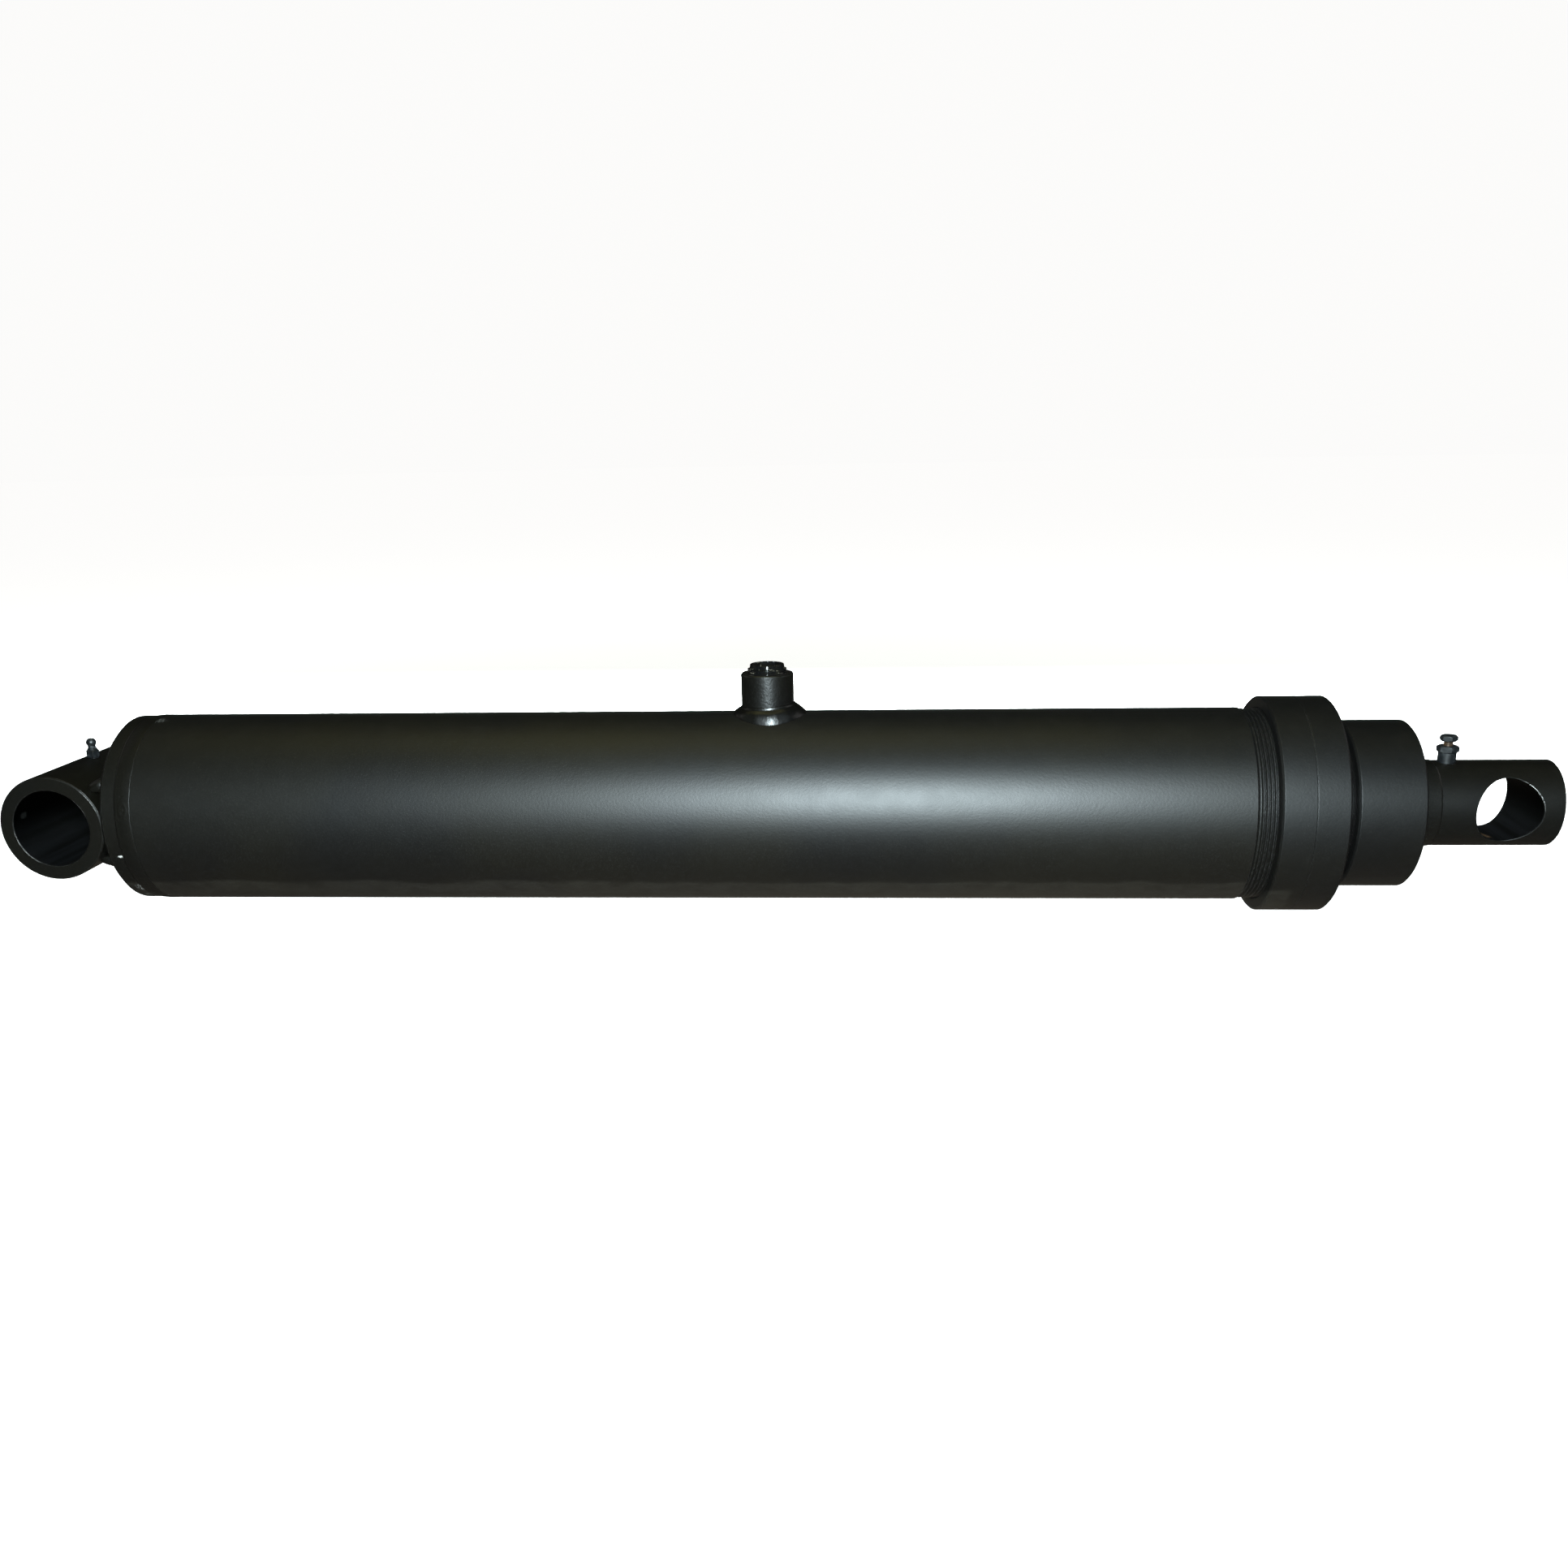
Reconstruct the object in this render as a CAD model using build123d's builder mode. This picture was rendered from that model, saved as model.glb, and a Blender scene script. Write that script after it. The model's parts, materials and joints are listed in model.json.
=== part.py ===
from build123d import *
import os
from math import cos, radians, sin, sqrt

# Two-stage telescopic hydraulic cylinder, drawn collapsed. All lengths are in millimetres.
# The origin is the middle of the base eye's bore. +X runs along the cylinder to the rod end,
# the mounting pins lie along Y, and the oil port points up (+Z).
# Outlines of turned pieces are lists of (x, radius) corners, revolved about the X axis.

# --- Driving dimensions ---
# The three telescoping tubes
barrel_od = 127.0
barrel_wall = 9.525
sleeve_od = 95.25
sleeve_wall = 7.9375
plunger_od = 69.85
plunger_wall = 7.9375
sleeve_stroke = 635.0
plunger_stroke = 685.8

# Base eye and base cap
eye_od = 69.85
eye_bore = 51.0
eye_width = 118.2
eye_rim_chamfer = 0.8
eye_bore_chamfer = 0.5
cap_od = 125.8
cap_rim_end_x = 47.2
cap_inner_x = 66.0

# Rod end
rod_end_od = 56.2
rod_end_start_x = 889.5
rod_end_x = 980.2
rod_eye_x = 945.9
rod_eye_bore = 41.5

# Gland nuts
head_nut_od = 141.4
head_nut_x = 791.3
sleeve_nut_od = 109.4
sleeve_nut_x = 842.85
nut_length = 42.0
nut_chamfer = 1.2

# Threads under the gland nuts
thread_pitch = 2.54
thread_depth = 1.5
thread_crest = 0.4
thread_start_run = 2.6
barrel_thread_x = 778.2
barrel_thread_od = 125.4
barrel_end_x = 812.5
sleeve_thread_x = 835.5
sleeve_thread_od = 94.2
sleeve_end_x = 866.0

# Seal pockets: where the bearing's inner face sits, the bearing's length and one chevron's length
head_pocket_x = 766.0
head_pocket_od = 114.3
head_bearing_length = 20.0
head_chevron_length = 4.0
sleeve_pocket_x = 824.0
sleeve_pocket_od = 84.0
sleeve_bearing_length = 16.0
sleeve_chevron_length = 3.0
chevron_count = 4
nut_nose_length = 1.5

# Lower ends of the two moving stages
sleeve_start_x = 67.0
plunger_start_x = 68.0
retaining_ring_x = 72.0
retaining_ring_length = 4.0
stop_ring_length = 6.0
oil_hole_x = 150.0
oil_hole_d = 12.0

# Oil port, its weld and its shipping plug
port_x = 470.3
port_boss_od = 34.9
port_boss_top_z = 89.8
port_bore = 26.0
port_weld_top_z = 70.0
port_weld_toe_r = 23.6
port_weld_rim_r = 24.6
port_drill_d = 19.0
plug_bottom_z = 72.0
plug_thread_top_z = 93.0
plug_top_z = 95.6
plug_cap_od = 22.4
plug_hex_across_flats = 16.8
plug_hex_bottom_z = 80.0

# Grease fitting on the base eye
grease_x = 1.5
grease_hex_across_flats = 8.0
grease_hex_bottom_z = 35.2
grease_hex_top_z = 40.2
grease_shoulder_top_z = 42.2
grease_neck_d = 4.9
grease_head_d = 6.5
grease_top_z = 48.7
grease_shank_d = 6.2
grease_hole_d = 1.6

# Bleeder valve on the rod end
bleeder_x = 913.3
bleeder_seat_z = 27.2
bleeder_collar_d = 11.3
bleeder_collar_top_z = 34.0
bleeder_hex_across_flats = 12.2
bleeder_hex_top_z = 38.4
bleeder_neck_d = 5.6
bleeder_knob_across_flats = 9.8
bleeder_knob_bottom_z = 41.3
bleeder_knob_top_z = 45.2
bleeder_shank_d = 10.0
bleeder_shank_length = 12.0
bleeder_needle_tip_z = 24.0
bleeder_needle_tip_d = 2.4
bleed_hole_d = 3.0

# Clearances
running_gap = 0.075
ring_end_gap = 0.2
thread_gap = 0.1

# Small edge breaks shared by several pieces
tube_end_chamfer = 1.0
thread_lead_in = 0.8

# --- Worked-out sizes ---
barrel_r = barrel_od / 2
barrel_inner_r = barrel_r - barrel_wall
sleeve_r = sleeve_od / 2
sleeve_inner_r = sleeve_r - sleeve_wall
plunger_r = plunger_od / 2
plunger_inner_r = plunger_r - plunger_wall
eye_r = eye_od / 2
rod_end_r = rod_end_od / 2
head_pocket_r = head_pocket_od / 2
sleeve_pocket_r = sleeve_pocket_od / 2
cap_face_x = eye_r


def save(piece, node):
    """Labels a finished piece and writes it as its own STEP file."""
    piece.part.label = node
    export_step(piece.part, f"parts/{node}.step")


def revolve_outline(corners):
    """Adds a turned shape to the part being built, from its closed (x, radius) outline."""
    with BuildSketch(Plane.XZ) as outline:
        with BuildLine():
            Polyline(*corners, close=True)
        make_face()
    revolve(outline.sketch, axis=Axis.X)


def thread_corners(start_x, end_x, crest_r):
    """Corners of an external vee thread's flank line from start_x to the last whole turn."""
    root_r = crest_r - thread_depth
    flank = (thread_pitch - thread_crest) / 2
    corners = []
    for turn in range(int((end_x - start_x) / thread_pitch)):
        x = start_x + turn * thread_pitch
        corners.append((x, root_r))
        corners.append((x + flank, crest_r))
        corners.append((x + flank + thread_crest, crest_r))
    corners.append((x + thread_pitch, root_r))
    return corners


def chamfered_hexagon(centre_x, low_z, high_z, across_flats, turn, chamfer_height):
    """Returns an upright hexagon prism whose corners are turned down at both ends."""
    corner_r = across_flats / sqrt(3)
    face_r = 0.93 * across_flats / 2
    with BuildPart() as hexagon:
        with BuildSketch(Plane.XY.offset(low_z)):
            with Locations((centre_x, 0)):
                RegularPolygon(across_flats / 2, 6, major_radius=False, rotation=turn)
        extrude(amount=high_z - low_z)
        with BuildSketch(Plane.XZ):
            with BuildLine():
                Polyline(
                    (centre_x, low_z),
                    (centre_x + face_r, low_z),
                    (centre_x + corner_r, low_z + chamfer_height),
                    (centre_x + corner_r, high_z - chamfer_height),
                    (centre_x + face_r, high_z),
                    (centre_x, high_z),
                    close=True,
                )
            make_face()
        revolve(axis=Axis((centre_x, 0, 0), (0, 0, 1)), mode=Mode.INTERSECT)
    return hexagon.part


os.makedirs("parts", exist_ok=True)

# --- Base cap and the weld that joins it to the barrel ---
cap_chamfer = 2.4
cap_r = cap_od / 2
weld_root_x = 49.0
barrel_start_x = 51.0
barrel_land_r = barrel_inner_r + 1.0
barrel_bevel_end_x = 55.8
weld_crown_height = 0.35

with BuildPart() as base_cap:
    revolve_outline(
        [
            (cap_face_x, 0),
            (cap_face_x, cap_r - cap_chamfer),
            (cap_face_x + cap_chamfer, cap_r),
            (cap_rim_end_x, cap_r),
            (weld_root_x, barrel_inner_r),
            (cap_inner_x, barrel_inner_r),
            (cap_inner_x, 0),
        ]
    )
save(base_cap, "base_cap")

with BuildPart() as base_cap_weld:
    with BuildSketch(Plane.XZ):
        with BuildLine():
            Polyline(
                (cap_rim_end_x, cap_r),
                (weld_root_x, barrel_inner_r),
                (barrel_start_x, barrel_inner_r),
                (barrel_start_x, barrel_land_r),
                (barrel_bevel_end_x, barrel_r),
            )
            ThreePointArc(
                (barrel_bevel_end_x, barrel_r),
                ((cap_rim_end_x + barrel_bevel_end_x) / 2, barrel_r + weld_crown_height),
                (cap_rim_end_x, cap_r),
            )
        make_face()
    revolve(axis=Axis.X)
save(base_cap_weld, "base_cap_weld")

# --- Barrel: bevelled for the weld at its base, threaded and bored out for the gland at its head ---
thread_relief_x = barrel_thread_x + thread_start_run
thread_relief_r = barrel_thread_od / 2 - thread_depth

with BuildPart() as barrel_tube:
    revolve_outline(
        [
            (barrel_start_x, barrel_inner_r),
            (barrel_start_x, barrel_land_r),
            (barrel_bevel_end_x, barrel_r),
            (barrel_thread_x, barrel_r),
            (thread_relief_x - thread_lead_in, thread_relief_r),
            *thread_corners(thread_relief_x, barrel_end_x, barrel_thread_od / 2),
            (barrel_end_x, thread_relief_r),
            (barrel_end_x, head_pocket_r),
            (head_pocket_x, head_pocket_r),
            (head_pocket_x, barrel_inner_r),
        ]
    )
    with BuildSketch(Plane.XY.offset(barrel_inner_r - barrel_wall)):
        with Locations((port_x, 0)):
            Circle(port_drill_d / 2)
    extrude(amount=3 * barrel_wall, mode=Mode.SUBTRACT)
save(barrel_tube, "barrel_tube")

# --- Base eye: a cross tube welded across the cap's face ---
with BuildPart() as base_eye_tube:
    with BuildSketch(Plane.XZ.offset(-eye_width / 2)):
        Circle(eye_r)
        Circle(eye_bore / 2, mode=Mode.SUBTRACT)
    extrude(amount=eye_width)
    rim_edges = base_eye_tube.faces().filter_by(Axis.Y).edges().sort_by(SortBy.RADIUS)[-2:]
    chamfer(rim_edges, length=eye_rim_chamfer)
    bore_edges = base_eye_tube.faces().filter_by(Axis.Y).edges().sort_by(SortBy.RADIUS)[:2]
    chamfer(bore_edges, length=eye_bore_chamfer)
    with BuildSketch(Plane.XY.offset(eye_bore / 2 - 2)):
        with Locations((grease_x, 0)):
            Circle(grease_shank_d / 2)
    extrude(amount=eye_r, mode=Mode.SUBTRACT)
save(base_eye_tube, "base_eye_tube")

eye_weld_length = 108.0
eye_weld_angle = radians(50)
eye_weld_leg_z = 33.0
eye_weld_root_z = 6.0
eye_weld_end_radius = 4.0

with BuildPart() as base_eye_weld:
    with BuildSketch(Plane.XZ.offset(-eye_weld_length / 2)):
        with BuildLine():
            Polyline(
                (eye_r * cos(eye_weld_angle) - 1, eye_r * sin(eye_weld_angle) - 1),
                (cap_face_x, eye_weld_root_z),
                (cap_face_x, eye_weld_leg_z),
                (eye_r * cos(eye_weld_angle), eye_r * sin(eye_weld_angle)),
                close=True,
            )
        make_face()
        Circle(eye_r, mode=Mode.SUBTRACT)
    extrude(amount=eye_weld_length)
    cap_side = base_eye_weld.faces().filter_by(Axis.X).sort_by(Axis.X)[-1]
    fillet(cap_side.edges().filter_by(Axis.Z), radius=eye_weld_end_radius)
    mirror(about=Plane.XY)
save(base_eye_weld, "base_eye_weld")

# --- Grease fitting: hexagon, neck and ball head on a threaded shank, drilled through ---
grease_bottom_z = eye_bore / 2 + 1
grease_head_z = grease_top_z - grease_head_d / 2
grease_hex_chamfer = 0.5
grease_shoulder_r = 0.45 * grease_hex_across_flats
grease_flat_z = grease_top_z - 0.5
grease_hole_bottom_z = grease_top_z - 2

with BuildPart() as grease_fitting:
    with BuildSketch(Plane.XY.offset(grease_bottom_z)):
        with Locations((grease_x, 0)):
            Circle(grease_shank_d / 2)
    extrude(amount=grease_hex_bottom_z - grease_bottom_z)
    add(
        chamfered_hexagon(
            grease_x,
            grease_hex_bottom_z,
            grease_hex_top_z,
            grease_hex_across_flats,
            turn=0,
            chamfer_height=grease_hex_chamfer,
        )
    )
    with BuildSketch(Plane.XZ):
        with BuildLine():
            Polyline(
                (grease_x, grease_hex_top_z - 1),
                (grease_x + grease_shoulder_r, grease_hex_top_z - 1),
                (grease_x + grease_shoulder_r, grease_hex_top_z),
                (grease_x + grease_neck_d / 2, grease_shoulder_top_z),
                (grease_x + grease_neck_d / 2, grease_head_z),
                (grease_x, grease_head_z),
                close=True,
            )
        make_face()
    revolve(axis=Axis((grease_x, 0, 0), (0, 0, 1)))
    with Locations((grease_x, 0, grease_head_z)):
        Sphere(grease_head_d / 2)
    with BuildSketch(Plane.XY.offset(grease_flat_z)):
        with Locations((grease_x, 0)):
            Circle(grease_head_d)
    extrude(amount=2, mode=Mode.SUBTRACT)
    with BuildSketch(Plane.XY.offset(grease_hole_bottom_z)):
        with Locations((grease_x, 0)):
            Circle(grease_hole_d / 2)
    extrude(amount=3, mode=Mode.SUBTRACT)
save(grease_fitting, "grease_fitting")

# --- Oil port: a threaded boss saddled on the barrel, its fillet weld and the shipping plug ---
port_boss_chamfer = 0.8

with BuildPart() as port_boss:
    with BuildSketch(Plane.XY.offset(barrel_inner_r)):
        with Locations((port_x, 0)):
            Circle(port_boss_od / 2)
    extrude(amount=port_boss_top_z - barrel_inner_r)
    chamfer(port_boss.edges().group_by(Axis.Z)[-1], length=port_boss_chamfer)
    with BuildSketch(Plane.XY.offset(barrel_inner_r)):
        with Locations((port_x, 0)):
            Circle(port_bore / 2)
    extrude(amount=port_boss_top_z, mode=Mode.SUBTRACT)
    with Locations(Location((port_x, 0, 0), (0, 90, 0))):
        Cylinder(barrel_r, 2 * port_boss_od, mode=Mode.SUBTRACT)
save(port_boss, "port_boss")

port_weld_low_z = 55.0
port_boss_r = port_boss_od / 2
port_weld_slope = (port_weld_top_z - barrel_r) / (port_weld_toe_r - port_boss_r)
port_weld_rim_z = port_weld_top_z - port_weld_slope * (port_weld_rim_r - port_boss_r)

with BuildPart() as port_weld:
    with BuildSketch(Plane.XZ):
        with BuildLine():
            Polyline(
                (port_x + port_boss_r, port_weld_low_z),
                (port_x + port_weld_rim_r, port_weld_low_z),
                (port_x + port_weld_rim_r, port_weld_rim_z),
                (port_x + port_boss_r, port_weld_top_z),
                close=True,
            )
        make_face()
    revolve(axis=Axis((port_x, 0, 0), (0, 0, 1)))
    with Locations(Location((port_x, 0, 0), (0, 90, 0))):
        Cylinder(barrel_r, 2 * port_boss_od, mode=Mode.SUBTRACT)
save(port_weld, "port_weld")

plug_thread_r = port_bore / 2 - running_gap
plug_ridge_depth = 0.5

with BuildPart() as port_plug:
    with BuildSketch(Plane.XZ):
        with BuildLine():
            Polyline(
                (port_x, plug_bottom_z),
                (port_x + plug_thread_r - 1, plug_bottom_z),
                (port_x + plug_thread_r, plug_bottom_z + 1),
                (port_x + plug_thread_r, port_boss_top_z),
                (port_x + plug_thread_r - plug_ridge_depth, port_boss_top_z + 0.9),
                (port_x + plug_thread_r - 0.1, port_boss_top_z + 1.8),
                (port_x + plug_thread_r - 0.1, plug_thread_top_z - 0.5),
                (port_x + plug_cap_od / 2 + 0.3, plug_thread_top_z),
                (port_x + plug_cap_od / 2, plug_top_z - 0.4),
                (port_x + plug_cap_od / 2 - 0.4, plug_top_z),
                (port_x, plug_top_z),
                close=True,
            )
        make_face()
    revolve(axis=Axis((port_x, 0, 0), (0, 0, 1)))
    with BuildSketch(Plane.XY.offset(plug_hex_bottom_z)):
        with Locations((port_x, 0)):
            RegularPolygon(plug_hex_across_flats / 2, 6, major_radius=False)
    extrude(amount=plug_top_z, mode=Mode.SUBTRACT)
save(port_plug, "port_plug")


# --- Gland nuts: threaded over the tube's end, with a nose on the packing and a wiper groove ---
wiper_length = 8.0
wiper_depth = 5.6
wiper_groove_from_face = 3.3
wiper_lip_wall = 2.2
wiper_lip_stand_out = 1.4
shaft_gap = 0.3
wiper_lip_gap = 0.4
wiper_lip_edge = 0.5
index_line_depth = 0.35


def gland_nut(piece, node, start_x, outer_r, thread_r, shoulder_x, nose_r, shaft_r, index_line):
    """Builds a gland nut round a tube's threaded end, from its inner face at start_x."""
    end_x = start_x + nut_length
    groove_end_x = end_x - wiper_groove_from_face
    groove_start_x = groove_end_x - wiper_length
    lip_r = shaft_r + wiper_lip_wall + wiper_lip_gap
    middle_x = start_x + nut_length / 2
    outside = [(start_x, outer_r - nut_chamfer), (start_x + nut_chamfer, outer_r)]
    if index_line:
        outside.append((middle_x - index_line_depth, outer_r))
        outside.append((middle_x, outer_r - index_line_depth))
        outside.append((middle_x + index_line_depth, outer_r))
    with piece:
        revolve_outline(
            [
                (start_x, thread_r + thread_lead_in),
                *outside,
                (end_x - nut_chamfer, outer_r),
                (end_x, outer_r - nut_chamfer),
                (end_x, lip_r),
                (groove_end_x, lip_r),
                (groove_end_x, shaft_r + wiper_depth),
                (groove_start_x, shaft_r + wiper_depth),
                (groove_start_x, shaft_r + shaft_gap),
                (shoulder_x - nut_nose_length, shaft_r + shaft_gap),
                (shoulder_x - nut_nose_length, nose_r),
                (shoulder_x, nose_r),
                (shoulder_x, thread_r),
                (start_x + thread_lead_in, thread_r),
            ]
        )
    save(piece, node)


def wiper(piece, node, nut_start_x, shaft_r):
    """Builds a wiper ring: a body in the nut's groove and a lip that stands out of its face."""
    face_x = nut_start_x + nut_length
    body_end_x = face_x - wiper_groove_from_face
    inner_r = shaft_r + running_gap
    with piece:
        revolve_outline(
            [
                (body_end_x - wiper_length, inner_r),
                (body_end_x - wiper_length, shaft_r + wiper_depth),
                (body_end_x, shaft_r + wiper_depth),
                (body_end_x, shaft_r + wiper_lip_wall),
                (face_x + wiper_lip_stand_out, inner_r + wiper_lip_edge),
                (face_x + wiper_lip_stand_out, inner_r),
            ]
        )
    save(piece, node)


gland_nut(
    BuildPart(),
    "head_nut",
    start_x=head_nut_x,
    outer_r=head_nut_od / 2,
    thread_r=barrel_thread_od / 2 + thread_gap,
    shoulder_x=barrel_end_x,
    nose_r=head_pocket_r - thread_gap,
    shaft_r=sleeve_r,
    index_line=True,
)
gland_nut(
    BuildPart(),
    "sleeve_nut",
    start_x=sleeve_nut_x,
    outer_r=sleeve_nut_od / 2,
    thread_r=sleeve_thread_od / 2 + thread_gap,
    shoulder_x=sleeve_end_x,
    nose_r=sleeve_pocket_r - thread_gap,
    shaft_r=plunger_r,
    index_line=False,
)
wiper(BuildPart(), "head_wiper", head_nut_x, sleeve_r)
wiper(BuildPart(), "sleeve_wiper", sleeve_nut_x, plunger_r)


# --- Bearing and chevron packing in the pocket at the open end of a tube ---
def packing_outline(start_x, end_x, start_vee, end_vee, inner_r, outer_r):
    """Corners of a packing piece, whose ends are flat or a vee pointing to the head."""
    middle_r = (inner_r + outer_r) / 2
    corners = [(start_x, inner_r)]
    if start_vee:
        corners.append((start_x + start_vee, middle_r))
    corners.append((start_x, outer_r))
    corners.append((end_x, outer_r))
    if end_vee:
        corners.append((end_x + end_vee, middle_r))
    corners.append((end_x, inner_r))
    return corners


def seal_stack(stage, pocket_x, bearing_length, ring_length, end_x, shaft_r, pocket_r):
    """Builds the bearing, packing header, chevron rings and follower that fill one pocket."""
    inner_r = shaft_r + running_gap
    header_x = pocket_x + bearing_length
    rings_x = header_x + ring_length
    follower_x = rings_x + chevron_count * ring_length
    vee = 0.8 * ring_length

    with BuildPart() as bearing:
        with BuildSketch(Plane.YZ.offset(pocket_x)):
            Circle(pocket_r)
            Circle(inner_r, mode=Mode.SUBTRACT)
        extrude(amount=bearing_length)
    save(bearing, f"{stage}_bearing")

    with BuildPart() as header:
        revolve_outline(packing_outline(header_x, rings_x, 0, vee, inner_r, pocket_r))
    save(header, f"{stage}_packing_header")

    with BuildPart() as rings:
        for ring in range(chevron_count):
            ring_x = rings_x + ring * ring_length
            # Each ring stands a hair short of the next, so that they stay separate solids.
            ring_end_x = ring_x + ring_length - 0.02
            revolve_outline(packing_outline(ring_x, ring_end_x, vee, vee, inner_r, pocket_r))
    save(rings, f"{stage}_packing_rings")

    with BuildPart() as follower:
        revolve_outline(packing_outline(follower_x, end_x, vee, 0, inner_r, pocket_r))
    save(follower, f"{stage}_packing_follower")


seal_stack(
    "head",
    pocket_x=head_pocket_x,
    bearing_length=head_bearing_length,
    ring_length=head_chevron_length,
    end_x=barrel_end_x - nut_nose_length,
    shaft_r=sleeve_r,
    pocket_r=head_pocket_r,
)
seal_stack(
    "sleeve",
    pocket_x=sleeve_pocket_x,
    bearing_length=sleeve_bearing_length,
    ring_length=sleeve_chevron_length,
    end_x=sleeve_end_x - nut_nose_length,
    shaft_r=plunger_r,
    pocket_r=sleeve_pocket_r,
)

# --- Rings on the lower end of each stage: retaining ring, guide ring and stop ring ---
groove_depth = 2.8
sleeve_stop_x = head_pocket_x - sleeve_stroke - ring_end_gap - stop_ring_length
plunger_stop_x = sleeve_pocket_x - plunger_stroke - ring_end_gap - stop_ring_length


def stage_rings(stage, shaft_r, outer_bore_r, stop_x, retaining_od_gap, stop_od_gap):
    """Builds the three rings that guide a stage in the bore round it and stop it coming out."""
    guide_start_x = retaining_ring_x + retaining_ring_length + ring_end_gap
    guide_end_x = stop_x - ring_end_gap
    groove_r = shaft_r - groove_depth
    with BuildPart() as retaining_ring:
        with BuildSketch(Plane.YZ.offset(retaining_ring_x)):
            Circle(outer_bore_r - retaining_od_gap)
            Circle(groove_r, mode=Mode.SUBTRACT)
        extrude(amount=retaining_ring_length)
    save(retaining_ring, f"{stage}_retaining_ring")

    with BuildPart() as guide_ring:
        with BuildSketch(Plane.YZ.offset(guide_start_x)):
            Circle(outer_bore_r - running_gap)
            Circle(shaft_r + running_gap, mode=Mode.SUBTRACT)
        extrude(amount=guide_end_x - guide_start_x)
    save(guide_ring, f"{stage}_guide_ring")

    with BuildPart() as stop_ring:
        with BuildSketch(Plane.YZ.offset(stop_x)):
            Circle(outer_bore_r - stop_od_gap)
            Circle(groove_r, mode=Mode.SUBTRACT)
        extrude(amount=stop_ring_length)
    save(stop_ring, f"{stage}_stop_ring")


stage_rings("sleeve", sleeve_r, barrel_inner_r, sleeve_stop_x, 3.0, 0.6)
stage_rings("plunger", plunger_r, sleeve_inner_r, plunger_stop_x, 1.8, 0.5)


def ring_grooves(shaft_r, stop_x):
    """Cuts the retaining ring's and the stop ring's grooves in the tube being built."""
    for groove_x, length in ((retaining_ring_x, retaining_ring_length), (stop_x, stop_ring_length)):
        with BuildSketch(Plane.YZ.offset(groove_x)) as groove:
            Circle(shaft_r + 1)
            Circle(shaft_r - groove_depth, mode=Mode.SUBTRACT)
        extrude(groove.sketch, amount=length, mode=Mode.SUBTRACT)


def oil_holes(tube_r):
    """Drills a cross of oil holes through the tube being built, above its guide ring."""
    for drill_plane in (Plane.XY, Plane.XZ):
        with BuildSketch(drill_plane.offset(-tube_r)) as holes:
            with Locations((oil_hole_x, 0)):
                Circle(oil_hole_d / 2)
        extrude(holes.sketch, amount=2 * tube_r, mode=Mode.SUBTRACT)


# --- Sleeve: the middle stage ---
sleeve_relief_r = sleeve_thread_od / 2 - thread_depth

with BuildPart() as sleeve_tube:
    revolve_outline(
        [
            (sleeve_start_x, sleeve_inner_r),
            (sleeve_start_x, sleeve_r - tube_end_chamfer),
            (sleeve_start_x + tube_end_chamfer, sleeve_r),
            (sleeve_thread_x, sleeve_r),
            (sleeve_thread_x + 1, sleeve_relief_r),
            *thread_corners(sleeve_thread_x + 1.5, sleeve_end_x, sleeve_thread_od / 2),
            (sleeve_end_x, sleeve_relief_r),
            (sleeve_end_x, sleeve_pocket_r),
            (sleeve_pocket_x, sleeve_pocket_r),
            (sleeve_pocket_x, sleeve_inner_r),
        ]
    )
    ring_grooves(sleeve_r, sleeve_stop_x)
    oil_holes(sleeve_r)
save(sleeve_tube, "sleeve_tube")

# --- Plunger: the last stage, a tube closed by a plug that carries the rod end ---
plunger_flange_length = 5.5
plunger_plug_length = 18.0
plunger_head_chamfer = 0.8
plunger_flange_x = rod_end_start_x - plunger_flange_length
plunger_plug_x = plunger_flange_x - plunger_plug_length
bleed_passage_d = 6.0

with BuildPart() as plunger_tube:
    revolve_outline(
        [
            (plunger_start_x, plunger_inner_r),
            (plunger_start_x, plunger_r - tube_end_chamfer),
            (plunger_start_x + tube_end_chamfer, plunger_r),
            (plunger_flange_x, plunger_r),
            (plunger_flange_x, plunger_inner_r),
        ]
    )
    ring_grooves(plunger_r, plunger_stop_x)
    oil_holes(plunger_r)
save(plunger_tube, "plunger_tube")

with BuildPart() as plunger_head:
    revolve_outline(
        [
            (plunger_plug_x, bleed_passage_d / 2),
            (plunger_plug_x, plunger_inner_r),
            (plunger_flange_x, plunger_inner_r),
            (plunger_flange_x, plunger_r),
            (rod_end_start_x - plunger_head_chamfer, plunger_r),
            (rod_end_start_x, plunger_r - plunger_head_chamfer),
            (rod_end_start_x, bleed_passage_d / 2),
        ]
    )
save(plunger_head, "plunger_head")

# --- Rod end: a round bar with a cross bore, drilled for the bleeder ---
rod_edge_chamfer = 1.0
rod_eye_chamfer = 0.6
bleeder_seat_d = 14.0

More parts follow.
